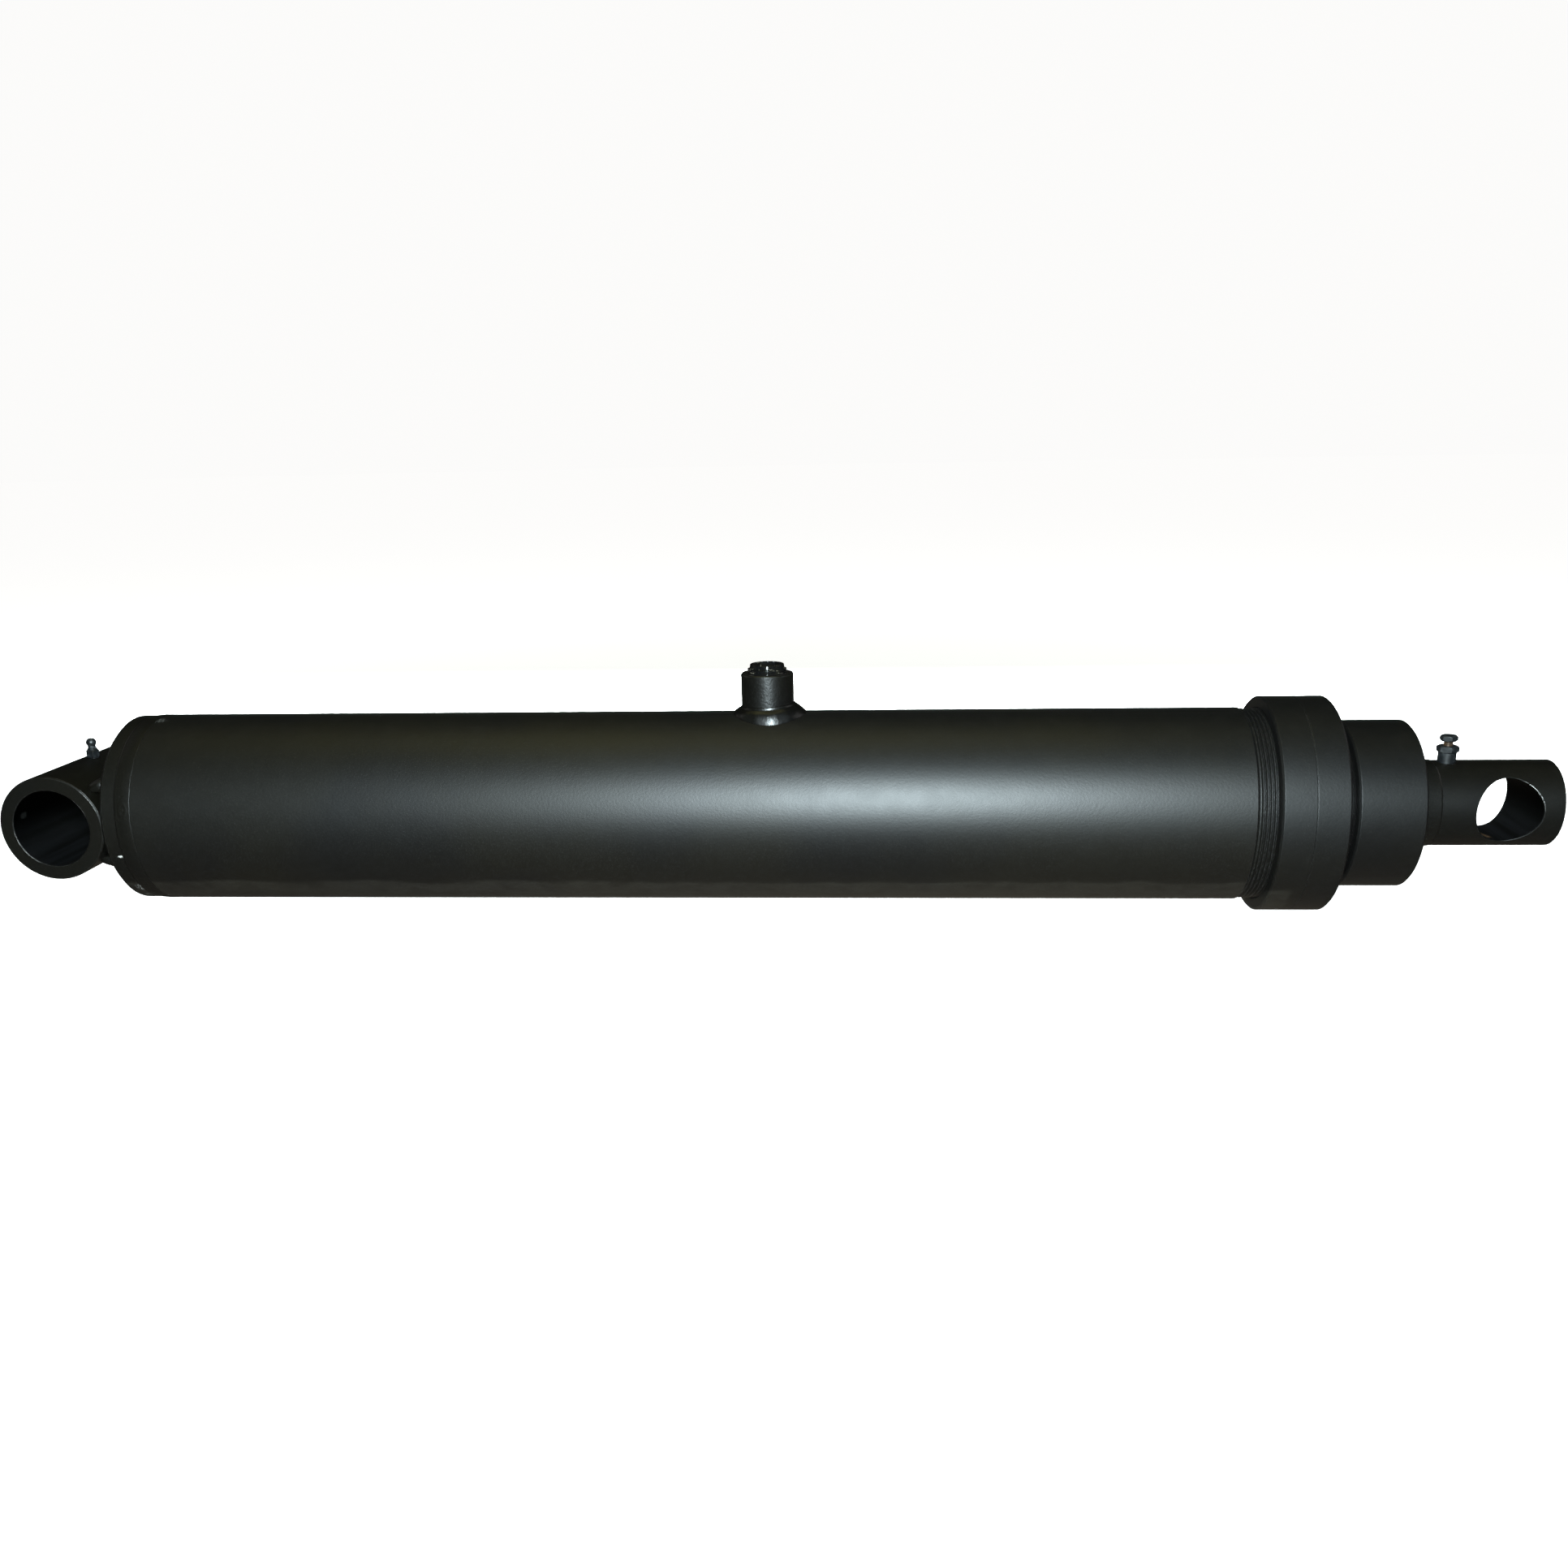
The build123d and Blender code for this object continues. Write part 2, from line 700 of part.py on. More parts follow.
with BuildPart() as rod_end_bar:
    with BuildSketch(Plane.YZ.offset(rod_end_start_x)):
        Circle(rod_end_r)
    extrude(amount=rod_end_x - rod_end_start_x)
    chamfer(rod_end_bar.faces().sort_by(Axis.X)[-1].edges(), length=rod_edge_chamfer)
    with BuildSketch(Plane.XZ.offset(-rod_end_r)):
        with Locations((rod_eye_x, 0)):
            Circle(rod_eye_bore / 2)
    extrude(amount=rod_end_od, mode=Mode.SUBTRACT)
    rod_eye_edges = rod_end_bar.edges(Select.LAST).filter_by(GeomType.LINE, reverse=True)
    chamfer(rod_eye_edges, length=rod_eye_chamfer)
    with BuildSketch(Plane.YZ.offset(rod_end_start_x)):
        Circle(bleed_passage_d / 2)
    extrude(amount=bleeder_x - rod_end_start_x, mode=Mode.SUBTRACT)
    with BuildSketch(Plane.XY):
        with Locations((bleeder_x, 0)):
            Circle(bleed_hole_d / 2)
    extrude(amount=rod_end_r, mode=Mode.SUBTRACT)
    with BuildSketch(Plane.XY.offset(bleeder_seat_z - bleeder_shank_length)):
        with Locations((bleeder_x, 0)):
            Circle(bleeder_shank_d / 2)
    extrude(amount=rod_end_r, mode=Mode.SUBTRACT)
    with BuildSketch(Plane.XY.offset(bleeder_seat_z)):
        with Locations((bleeder_x, 0)):
            Circle(bleeder_seat_d / 2)
    extrude(amount=rod_end_r, mode=Mode.SUBTRACT)
save(rod_end_bar, "rod_end_bar")

rod_weld_toe_x = 903.5
rod_weld_leg_r = rod_end_r + 1.7
rod_weld_middle_r = rod_end_r + 1.0

with BuildPart() as rod_end_weld:
    with BuildSketch(Plane.XZ):
        with BuildLine():
            Polyline(
                (rod_weld_toe_x, rod_end_r),
                (rod_end_start_x, rod_end_r),
                (rod_end_start_x, rod_weld_leg_r),
            )
            ThreePointArc(
                (rod_end_start_x, rod_weld_leg_r),
                ((rod_end_start_x + rod_weld_toe_x) / 2, rod_weld_middle_r),
                (rod_weld_toe_x, rod_end_r),
            )
        make_face()
    revolve(axis=Axis.X)
save(rod_end_weld, "rod_end_weld")

# --- Bleeder valve: a hexagon body screwed into the bar, and the needle screw in it ---
bleeder_bottom_z = bleeder_seat_z - bleeder_shank_length
bleeder_hex_turn = 30
bleeder_bore_r = bleeder_neck_d / 2 + running_gap

with BuildPart() as bleeder_body:
    with BuildSketch(Plane.XY.offset(bleeder_bottom_z)):
        with Locations((bleeder_x, 0)):
            Circle(bleeder_shank_d / 2)
    extrude(amount=bleeder_shank_length)
    with BuildSketch(Plane.XY.offset(bleeder_seat_z)):
        with Locations((bleeder_x, 0)):
            Circle(bleeder_collar_d / 2)
    extrude(amount=bleeder_collar_top_z - bleeder_seat_z)
    add(
        chamfered_hexagon(
            bleeder_x,
            bleeder_collar_top_z,
            bleeder_hex_top_z,
            bleeder_hex_across_flats,
            bleeder_hex_turn,
            chamfer_height=0.9,
        )
    )
    with BuildSketch(Plane.XY.offset(bleeder_bottom_z)):
        with Locations((bleeder_x, 0)):
            Circle(bleed_hole_d / 2)
    extrude(amount=rod_end_od, mode=Mode.SUBTRACT)
    with BuildSketch(Plane.XY.offset(bleeder_needle_tip_z + 1)):
        with Locations((bleeder_x, 0)):
            Circle(bleeder_bore_r)
    extrude(amount=rod_end_od, mode=Mode.SUBTRACT)
save(bleeder_body, "bleeder_body")

with BuildPart() as bleeder_screw:
    with BuildSketch(Plane.XZ):
        with BuildLine():
            Polyline(
                (bleeder_x, bleeder_needle_tip_z),
                (bleeder_x + bleeder_needle_tip_d / 2, bleeder_needle_tip_z),
                (bleeder_x + bleeder_needle_tip_d / 2, bleeder_needle_tip_z + 1.4),
                (bleeder_x + bleeder_neck_d / 2, bleeder_needle_tip_z + 3.0),
                (bleeder_x + bleeder_neck_d / 2, bleeder_knob_bottom_z),
                (bleeder_x, bleeder_knob_bottom_z),
                close=True,
            )
        make_face()
    revolve(axis=Axis((bleeder_x, 0, 0), (0, 0, 1)))
    add(
        chamfered_hexagon(
            bleeder_x,
            bleeder_knob_bottom_z,
            bleeder_knob_top_z,
            bleeder_knob_across_flats,
            bleeder_hex_turn,
            chamfer_height=1.2,
        )
    )
save(bleeder_screw, "bleeder_screw")
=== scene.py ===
"""Looks of a telescopic hydraulic cylinder: satin black paint, weld beads, worn edges that also paint
highlights, and dark fittings.
"""

import json
import math

import bpy
from mathutils import Euler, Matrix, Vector, noise


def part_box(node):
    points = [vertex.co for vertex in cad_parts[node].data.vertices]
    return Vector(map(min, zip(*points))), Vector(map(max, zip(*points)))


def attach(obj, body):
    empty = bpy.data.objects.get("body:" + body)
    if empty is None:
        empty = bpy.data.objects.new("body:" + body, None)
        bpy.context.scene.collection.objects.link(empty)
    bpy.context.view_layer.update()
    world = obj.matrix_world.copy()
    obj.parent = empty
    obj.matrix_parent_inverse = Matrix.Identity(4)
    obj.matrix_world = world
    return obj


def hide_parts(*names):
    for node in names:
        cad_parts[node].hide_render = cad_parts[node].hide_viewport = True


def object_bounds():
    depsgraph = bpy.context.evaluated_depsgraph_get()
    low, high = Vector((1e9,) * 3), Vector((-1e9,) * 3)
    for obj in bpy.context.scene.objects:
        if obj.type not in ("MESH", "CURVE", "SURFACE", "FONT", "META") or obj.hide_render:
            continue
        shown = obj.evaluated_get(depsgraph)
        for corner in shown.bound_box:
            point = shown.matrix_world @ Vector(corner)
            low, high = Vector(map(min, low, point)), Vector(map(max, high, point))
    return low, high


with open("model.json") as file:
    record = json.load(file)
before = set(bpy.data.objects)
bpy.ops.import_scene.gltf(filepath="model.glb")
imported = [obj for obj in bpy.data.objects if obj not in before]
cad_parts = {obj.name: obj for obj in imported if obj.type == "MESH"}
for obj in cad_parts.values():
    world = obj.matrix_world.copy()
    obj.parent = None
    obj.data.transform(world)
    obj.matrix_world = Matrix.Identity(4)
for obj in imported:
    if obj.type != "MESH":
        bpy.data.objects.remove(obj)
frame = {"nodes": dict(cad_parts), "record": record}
cad_low, cad_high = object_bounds()

# --- Sizes read from the frame, in metres ---
MM = 0.001
nodes = frame["nodes"]
eye_low, eye_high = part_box("base_eye_tube")
cap_weld_low, cap_weld_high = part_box("base_cap_weld")
eye_weld_low, eye_weld_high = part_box("base_eye_weld")
boss_low, boss_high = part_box("port_boss")
rod_weld_low, rod_weld_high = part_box("rod_end_weld")

barrel_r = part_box("barrel_tube")[1].z
cap_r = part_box("base_cap")[1].z
eye_r = eye_high.z
bar_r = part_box("rod_end_bar")[1].z
boss_r = (boss_high.x - boss_low.x) / 2
port_x = (boss_high.x + boss_low.x) / 2
port_weld_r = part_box("port_weld")[1].x - port_x
head_nut_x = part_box("head_nut")[0].x
bleeder_hex_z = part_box("bleeder_body")[1].z

mounts = {mount["name"]: mount for mount in frame["record"]["mounts"]}
rod_eye_x = mounts["rod_eye"]["pos_m"][0]
eye_bore_r = mounts["base_eye"]["dims"]["r_mm"] * MM
rod_eye_bore_r = mounts["rod_eye"]["dims"]["r_mm"] * MM

# Where the threads begin beside the two nuts
BARREL_THREAD_X = 0.7785
SLEEVE_THREAD_X = 0.8355

# The side that was towards the ground: down and a little to the front
LOW_FRONT = (0, -0.342, -0.940)

# --- Colours, linear ---
PAINT_BLACK = (0.0013, 0.0013, 0.0012, 1)
PAINT_OLIVE = (0.0024, 0.0021, 0.0011, 1)
# Dust colour, which on the upward faces also paints an olive sheen
DUST_AND_SHEEN = (0.110, 0.098, 0.070, 1)
SCUFF_GREY = (0.42, 0.42, 0.40, 1)
# Bare steel on rubbed edges, which also paints highlights on the thread crests, the cap's rim and the eyes
BARE_STEEL_AND_GLINT = (0.55, 0.54, 0.52, 1)
# Bore colours: the black is both the bore's dark streaks and the painted shade towards its top
BORE_BLACK_AND_SHADE = (0.0008, 0.0008, 0.0007, 1)
BORE_GREY = (0.0030, 0.0032, 0.0036, 1)
RUST_DARK = (0.022, 0.010, 0.004, 1)
RUST_LIGHT = (0.060, 0.034, 0.011, 1)
PACKING_DARK = (0.020, 0.019, 0.018, 1)
PACKING_LIGHT = (0.045, 0.042, 0.038, 1)
WIPER_DARK = (0.0020, 0.0020, 0.0020, 1)
WIPER_LIGHT = (0.0045, 0.0043, 0.0040, 1)


# --- Material building ---
class Surface:
    """One material's node tree, with a short method for each kind of node that the looks need."""

    def __init__(self, name):
        self.material = bpy.data.materials.new(name)
        self.material.use_nodes = True
        self.tree = self.material.node_tree
        self.shader = self.tree.nodes["Principled BSDF"]
        coordinates = self.add("ShaderNodeTexCoord")
        self.place = coordinates.outputs["Object"]
        self.normal = coordinates.outputs["Normal"]

    def add(self, kind, **settings):
        node = self.tree.nodes.new(kind)
        for key, value in settings.items():
            setattr(node, key, value)
        return node

    def feed(self, socket, value):
        """Links another node's output to a socket, or sets the socket's own value."""
        if isinstance(value, bpy.types.NodeSocket):
            self.tree.links.new(value, socket)
        else:
            socket.default_value = value

    def stretched(self, scale, shift=(0, 0, 0)):
        """The place on the piece, with each axis multiplied by its own number."""
        mapping = self.add("ShaderNodeMapping")
        self.feed(mapping.inputs["Vector"], self.place)
        mapping.inputs["Scale"].default_value = scale
        mapping.inputs["Location"].default_value = shift
        return mapping.outputs["Vector"]

    def noise(self, size, detail=3.0, roughness=0.5, stretch=(1, 1, 1), shift=(0, 0, 0)):
        """Cloudy noise from 0 to 1, with blobs about size metres across."""
        node = self.add("ShaderNodeTexNoise")
        self.feed(node.inputs["Vector"], self.stretched(stretch, shift))
        node.inputs["Scale"].default_value = 1 / size
        node.inputs["Detail"].default_value = detail
        node.inputs["Roughness"].default_value = roughness
        return node.outputs["Fac"]

    def specks(self, size, share):
        """1 on round specks about size metres apart, where share is how much of the gap each one fills."""
        node = self.add("ShaderNodeTexVoronoi")
        self.feed(node.inputs["Vector"], self.place)
        node.inputs["Scale"].default_value = 1 / size
        return self.span(node.outputs["Distance"], share, share * 0.6)

    def rings(self, spacing, waver=1.0):
        """Fine lathe lines round the X axis, from 0 to 1."""
        node = self.add("ShaderNodeTexWave", wave_type="BANDS", bands_direction="X")
        self.feed(node.inputs["Vector"], self.place)
        node.inputs["Scale"].default_value = math.pi / 10 / spacing
        node.inputs["Distortion"].default_value = waver
        node.inputs["Detail"].default_value = 2.0
        node.inputs["Detail Scale"].default_value = 0.4
        return node.outputs["Fac"]

    def span(self, value, low, high, out_low=0.0, out_high=1.0):
        """Value moved smoothly from the range low to high onto out_low to out_high, and held at both ends."""
        node = self.add("ShaderNodeMapRange", interpolation_type="SMOOTHSTEP", clamp=True)
        for key, number in zip(("Value", "From Min", "From Max", "To Min", "To Max"),
                               (value, low, high, out_low, out_high)):
            self.feed(node.inputs[key], number)
        return node.outputs["Result"]

    def calc(self, operation, first, second=0.0, clamp=False):
        node = self.add("ShaderNodeMath", operation=operation, use_clamp=clamp)
        self.feed(node.inputs[0], first)
        self.feed(node.inputs[1], second)
        return node.outputs[0]

    def times(self, *values):
        result = values[0]
        for value in values[1:]:
            result = self.calc("MULTIPLY", result, value)
        return result

    def most(self, *values):
        result = values[0]
        for value in values[1:]:
            result = self.calc("MAXIMUM", result, value)
        return result

    def blend(self, share, first, second):
        """Colour that goes from first to second as share goes from 0 to 1."""
        node = self.add("ShaderNodeMix", data_type="RGBA")
        self.feed(node.inputs[0], share)
        self.feed(node.inputs[6], first)
        self.feed(node.inputs[7], second)
        return node.outputs[2]

    def mix(self, share, first, second):
        """Number that goes from first to second as share goes from 0 to 1."""
        node = self.add("ShaderNodeMix", data_type="FLOAT")
        self.feed(node.inputs[0], share)
        self.feed(node.inputs[2], first)
        self.feed(node.inputs[3], second)
        return node.outputs[0]

    def part(self, vector, axis):
        node = self.add("ShaderNodeSeparateXYZ")
        self.feed(node.inputs[0], vector)
        return node.outputs[axis]

    def radius(self, across=(0, 1, 1), centre_x=0.0):
        """Distance from the axis that isn't marked in across, through the point at centre_x."""
        moved = self.add("ShaderNodeVectorMath", operation="SUBTRACT")
        self.feed(moved.inputs[0], self.place)
        moved.inputs[1].default_value = (centre_x, 0, 0)
        flat = self.add("ShaderNodeVectorMath", operation="MULTIPLY")
        self.feed(flat.inputs[0], moved.outputs[0])
        flat.inputs[1].default_value = across
        length = self.add("ShaderNodeVectorMath", operation="LENGTH")
        self.feed(length.inputs[0], flat.outputs[0])
        return length.outputs["Value"]

    def spot(self, centre, radius, shape=(1, 1, 1), edge=0.5):
        """1 inside a ragged spot round centre, fading to 0 at radius. Shape stretches it along each axis."""
        away = self.add("ShaderNodeVectorMath", operation="SUBTRACT")
        self.feed(away.inputs[0], self.place)
        away.inputs[1].default_value = centre
        scaled = self.add("ShaderNodeVectorMath", operation="DIVIDE")
        self.feed(scaled.inputs[0], away.outputs[0])
        scaled.inputs[1].default_value = shape
        length = self.add("ShaderNodeVectorMath", operation="LENGTH")
        self.feed(length.inputs[0], scaled.outputs[0])
        ragged = self.noise(radius * 0.5, detail=5, roughness=0.7)
        rag = self.times(self.calc("SUBTRACT", ragged, 0.5), radius)
        return self.span(self.calc("ADD", length.outputs["Value"], rag), radius, radius * edge)

    def within(self, value, low, high, soft):
        """1 where value lies between low and high, fading out over soft at both ends."""
        return self.times(self.span(value, low - soft, low), self.span(value, high + soft, high))

    def along(self, direction):
        """How far the place lies from the origin in one direction."""
        dot = self.add("ShaderNodeVectorMath", operation="DOT_PRODUCT")
        self.feed(dot.inputs[0], self.place)
        dot.inputs[1].default_value = direction
        return dot.outputs["Value"]

    def edges(self, rounded, low=0.02, high=0.12):
        """1 where a rounded normal leaves the surface's own: on the sharp edges of the piece, for wear."""
        geometry = self.add("ShaderNodeNewGeometry")
        dot = self.add("ShaderNodeVectorMath", operation="DOT_PRODUCT")
        self.feed(dot.inputs[0], rounded)
        self.feed(dot.inputs[1], geometry.outputs["Normal"])
        return self.span(self.calc("SUBTRACT", 1.0, dot.outputs["Value"]), low, high)

    def rounded(self, radius):
        """A normal that rounds the sharp edges over, so that they catch the light."""
        bevel = self.add("ShaderNodeBevel", samples=4)
        bevel.inputs["Radius"].default_value = radius
        return bevel.outputs[0]

    def bump(self, height, depth, normal=None):
        """A bumped normal, where depth is how far in metres the height's 0 to 1 stands."""
        node = self.add("ShaderNodeBump")
        node.inputs["Strength"].default_value = 1.0
        node.inputs["Distance"].default_value = depth
        self.feed(node.inputs["Height"], height)
        if normal is not None:
            self.feed(node.inputs["Normal"], normal)
        return node.outputs["Normal"]

    def finish(self, colour, roughness, normal, metallic=0.0, **fixed):
        """Feeds the shader, sets its plain sockets and returns the material."""
        self.feed(self.shader.inputs["Base Color"], colour)
        self.feed(self.shader.inputs["Roughness"], roughness)
        self.feed(self.shader.inputs["Normal"], normal)
        self.feed(self.shader.inputs["Metallic"], metallic)
        for key, value in fixed.items():
            self.shader.inputs[key.replace("_", " ")].default_value = value
        return self.material


def dust_and_sheen_on(s, mottle, grain, dusty):
    """The dust on the paint, smooth and speckled: a trace on top of it, which also paints an olive sheen on
    the upward faces, and a low band towards the ground.
    """
    facing_up = s.part(s.normal, "Z")
    # Dust and painted sheen: the upward faces turn a little olive
    dust_and_sheen = s.times(s.span(facing_up, 0.45, 1.0), s.span(mottle, 0.42, 0.75), 0.010)
    if dusty:
        reach, end_x = dusty
        waver = s.times(s.calc("SUBTRACT", s.noise(0.045, detail=3), 0.5), 0.006)
        low = s.calc("ADD", s.along(LOW_FRONT), waver)
        patch = s.times(s.span(low, reach - 0.0010, reach + 0.0010),
                        s.span(mottle, 0.25, 0.60, 0.02, 0.06))
        along_x = s.calc("ADD", s.along((1, 0, 0)), waver)
        dust_and_sheen = s.most(dust_and_sheen, s.times(patch, s.span(along_x, end_x + 0.003, end_x - 0.001)))
    return dust_and_sheen, s.most(dust_and_sheen, s.span(grain, 0.52, 0.72, 0.0, 0.022))


def rubbed_and_glinting_edges(s, smooth, wear_and_glint, worn):
    """How far the sharp edges are rubbed through to steel: a little all round, and more in the worn spots.
    The pale steel also paints highlights on the edges.
    """
    edge = s.edges(smooth)
    rubbed_and_glint = s.times(edge, s.span(s.noise(0.0022, detail=5, roughness=0.75), 0.42, 0.66), wear_and_glint)
    for spot in worn:
        ragged = s.span(s.noise(0.0030, detail=4, roughness=0.7), 0.40, 0.52)
        rubbed_and_glint = s.most(rubbed_and_glint, s.times(edge, s.spot(*spot), ragged, 0.5))
    return rubbed_and_glint


def scuffed(s, colour, scuffs):
    """The colour with spots scraped grey in fine flakes."""
    scratchy = s.noise(0.0014, detail=4, roughness=0.8, stretch=(1, 1, 0.4))
    for centre, radius, shape, strength in scuffs:
        flakes = s.span(scratchy, 0.58 - 0.25 * strength, 0.66 - 0.20 * strength)
        colour = s.blend(s.times(s.spot(centre, radius, shape), flakes, strength), colour, SCUFF_GREY)
    return colour


def bare_bore(s, colour, roughness, rubbed_and_glint, bore):
    """An oily steel bore instead of paint, with painted shade that makes it blacker towards its top."""
    bore_x, bore_r, patch = bore
    inside = s.span(s.radius((1, 0, 1), bore_x), bore_r + 0.0003, bore_r + 0.0001)
    streaks = s.noise(0.0060, detail=5, roughness=0.6, stretch=(1, 0.04, 1))
    height = s.part(s.place, "Z")
    # Painted shade: the bore goes blacker towards its top, where its rim shades it
    painted_top_shade = s.span(height, -0.022, 0.012)
    steel = s.blend(s.span(streaks, 0.36, 0.64), BORE_BLACK_AND_SHADE, BORE_GREY)
    steel = s.blend(painted_top_shade, steel, BORE_BLACK_AND_SHADE)
    if patch:
        steel = s.blend(s.times(s.spot(*patch), 0.05), steel, SCUFF_GREY)
    colour = s.blend(inside, colour, steel)
    roughness = s.mix(inside, roughness, s.mix(painted_top_shade, 0.55, 0.80))
    # Painted shade too: the metallic rises towards the top, which makes the black there darker still
    rubbed_and_glint = s.most(rubbed_and_glint, s.times(inside, s.span(height, -0.022, 0.008, 0.30, 1.0)))
    return colour, roughness, rubbed_and_glint


def black_paint(name, wear_and_glint=0.12, gloss=0.0, peel=1.0, worn=(), scuffs=(), rust=(), dusty=None,
                bore=None, shine=0.42):
    """Sprayed satin black enamel. Wear is how far its sharp edges are rubbed through to pale steel, which
    also paints highlights along them; gloss makes it smoother, shine is how strongly it reflects and peel
    scales the depth of its orange peel. Worn and rust list spots, as (centre, radius, shape), where the edges
    are bare steel, which also paints highlights on them, or the surface is rusty. Scuffs are spots scraped
    grey, with their strength. Dusty is the distance below the axis from which dust covers it, and the end of
    the dust along X. Bore is an unpainted bore along Y, with painted shade towards its top: its place along
    X, its radius, and a pale spot in it or None."""
    s = Surface(name)
    clouds = s.noise(0.110, detail=4)
    mottle = s.noise(0.012, detail=5, roughness=0.65, shift=(0.3, 0.1, 0))
    skin = s.noise(0.0017, detail=2, roughness=0.5)
    grain = s.noise(0.0008, detail=2, roughness=0.6)
    smooth = s.rounded(0.0006)

    dust_and_sheen, speckled = dust_and_sheen_on(s, mottle, grain, dusty)
    colour = s.blend(s.span(clouds, 0.38, 0.66), PAINT_BLACK, PAINT_OLIVE)
    colour = s.blend(speckled, colour, DUST_AND_SHEEN)
    fleck = s.times(s.specks(0.031, 0.012), s.span(mottle, 0.40, 0.60), 0.35)
    colour = s.blend(fleck, colour, SCUFF_GREY)
    roughness = s.mix(s.span(mottle, 0.30, 0.70), 0.46 - gloss, 0.48 - gloss)
    roughness = s.mix(dust_and_sheen, roughness, 0.70)

    rubbed_and_glint = rubbed_and_glinting_edges(s, smooth, wear_and_glint, worn)
    colour = scuffed(s, colour, scuffs)
    # Painted highlight as well as wear: the rubbed edges turn pale steel
    colour = s.blend(rubbed_and_glint, colour, BARE_STEEL_AND_GLINT)
    roughness = s.mix(rubbed_and_glint, roughness, 0.34)
    if bore:
        colour, roughness, rubbed_and_glint = bare_bore(s, colour, roughness, rubbed_and_glint, bore)
    for spot in rust:
        stain = s.spot(*spot)
        rusty = s.blend(s.span(s.noise(0.0022, detail=6, roughness=0.7), 0.35, 0.65), RUST_DARK, RUST_LIGHT)
        colour = s.blend(stain, colour, rusty)
        roughness = s.mix(stain, roughness, 0.85)
        rubbed_and_glint = s.times(rubbed_and_glint, s.calc("SUBTRACT", 1.0, stain))

    normal = s.bump(skin, 0.000052 * peel, smooth)
    normal = s.bump(grain, 0.000024 * peel, normal)
    normal = s.bump(mottle, 0.00002 * peel, normal)
    return s.finish(colour, roughness, normal, rubbed_and_glint, Specular_IOR_Level=shine)


def hard_chrome(name, thread_x=None):
    """Ground and plated rod surface, with fine grinding lines round it. Beyond thread_x it is near-black and
    not metallic.
    """
    s = Surface(name)
    lines = s.noise(0.0011, detail=6, roughness=0.75, stretch=(7, 0.12, 0.12))
    film = s.noise(0.040, detail=4, stretch=(0.5, 1, 1))
    colour = s.blend(s.span(film, 0.35, 0.75), (0.66, 0.67, 0.68, 1), (0.55, 0.56, 0.56, 1))
    roughness = s.mix(s.span(film, 0.3, 0.7), 0.12, 0.22)
    roughness = s.calc("ADD", roughness, s.times(lines, 0.06))
    if thread_x is not None:
        on_thread = s.span(s.part(s.place, "X"), thread_x - 0.0006, thread_x + 0.0002)
        thread_black = s.blend(s.noise(0.003, detail=4), (0.0014, 0.0013, 0.0013, 1), (0.0036, 0.0033, 0.0032, 1))
        colour = s.blend(on_thread, colour, thread_black)
        roughness = s.mix(on_thread, roughness, 0.34)
        metallic = s.calc("SUBTRACT", 1.0, on_thread)
    else:
        metallic = s.span(film, 0.0, 0.05, 0.97, 1.0)
    normal = s.bump(lines, 0.000006)
    return s.finish(colour, roughness, normal, metallic)


def bearing_bronze(name):
    """Turned bronze, darker where oil has stained it."""
    s = Surface(name)
    stain = s.noise(0.012, detail=5, roughness=0.6)
    colour = s.blend(s.span(stain, 0.4, 0.7), (0.60, 0.36, 0.15, 1), (0.36, 0.20, 0.08, 1))
    roughness = s.mix(stain, 0.26, 0.44)
    normal = s.bump(s.rings(0.0006), 0.00002)
    return s.finish(colour, roughness, normal, s.span(stain, 0.0, 0.2, 0.9, 1.0))


def ring_steel(name):
    """Bright spring steel with a bluish oil film."""
    s = Surface(name)
    film = s.noise(0.009, detail=4)
    colour = s.blend(s.span(film, 0.4, 0.65), (0.40, 0.41, 0.43, 1), (0.26, 0.27, 0.30, 1))
    roughness = s.mix(film, 0.24, 0.40)
    normal = s.bump(s.noise(0.0007, detail=3, stretch=(1, 0.2, 0.2)), 0.00001)
    return s.finish(colour, roughness, normal, s.span(film, 0.0, 0.2, 0.92, 1.0))


def rubber(name, dark, light, rough):
    """Moulded seal rubber with a slight bloom and an oily sheen."""
    s = Surface(name)
    bloom = s.noise(0.006, detail=5, roughness=0.6)
    colour = s.blend(s.span(bloom, 0.4, 0.7), dark, light)
    roughness = s.mix(bloom, rough - 0.08, rough + 0.10)
    normal = s.bump(s.noise(0.0005, detail=3), 0.00002)
    return s.finish(colour, roughness, normal, Specular_IOR_Level=0.25)


def plug_plastic(name):
    """Glossy moulded black plastic, scratched a little, with pale beige spots on a few edges that are rubbed
    wear and also painted glints.
    """
    s = Surface(name)
    flow = s.noise(0.006, detail=4)
    scratch = s.noise(0.0010, detail=5, roughness=0.8, stretch=(1, 6, 1))
    colour = s.blend(s.span(flow, 0.4, 0.7), (0.0030, 0.0030, 0.0030, 1), (0.0060, 0.0055, 0.0042, 1))
    smooth = s.rounded(0.0006)
    # Pale spots on the edges: wear, and painted glints like those in the recess
    patchy = s.span(s.noise(0.0050, detail=3, roughness=0.6), 0.56, 0.62)
    worn = s.times(s.edges(smooth, 0.03, 0.12), patchy, 0.60)
    colour = s.blend(worn, colour, (0.42, 0.38, 0.29, 1))
    roughness = s.mix(s.span(scratch, 0.35, 0.7), 0.06, 0.12)
    normal = s.bump(flow, 0.00045, smooth)
    normal = s.bump(scratch, 0.00001, normal)
    return s.finish(colour, roughness, normal, Specular_IOR_Level=0.26)


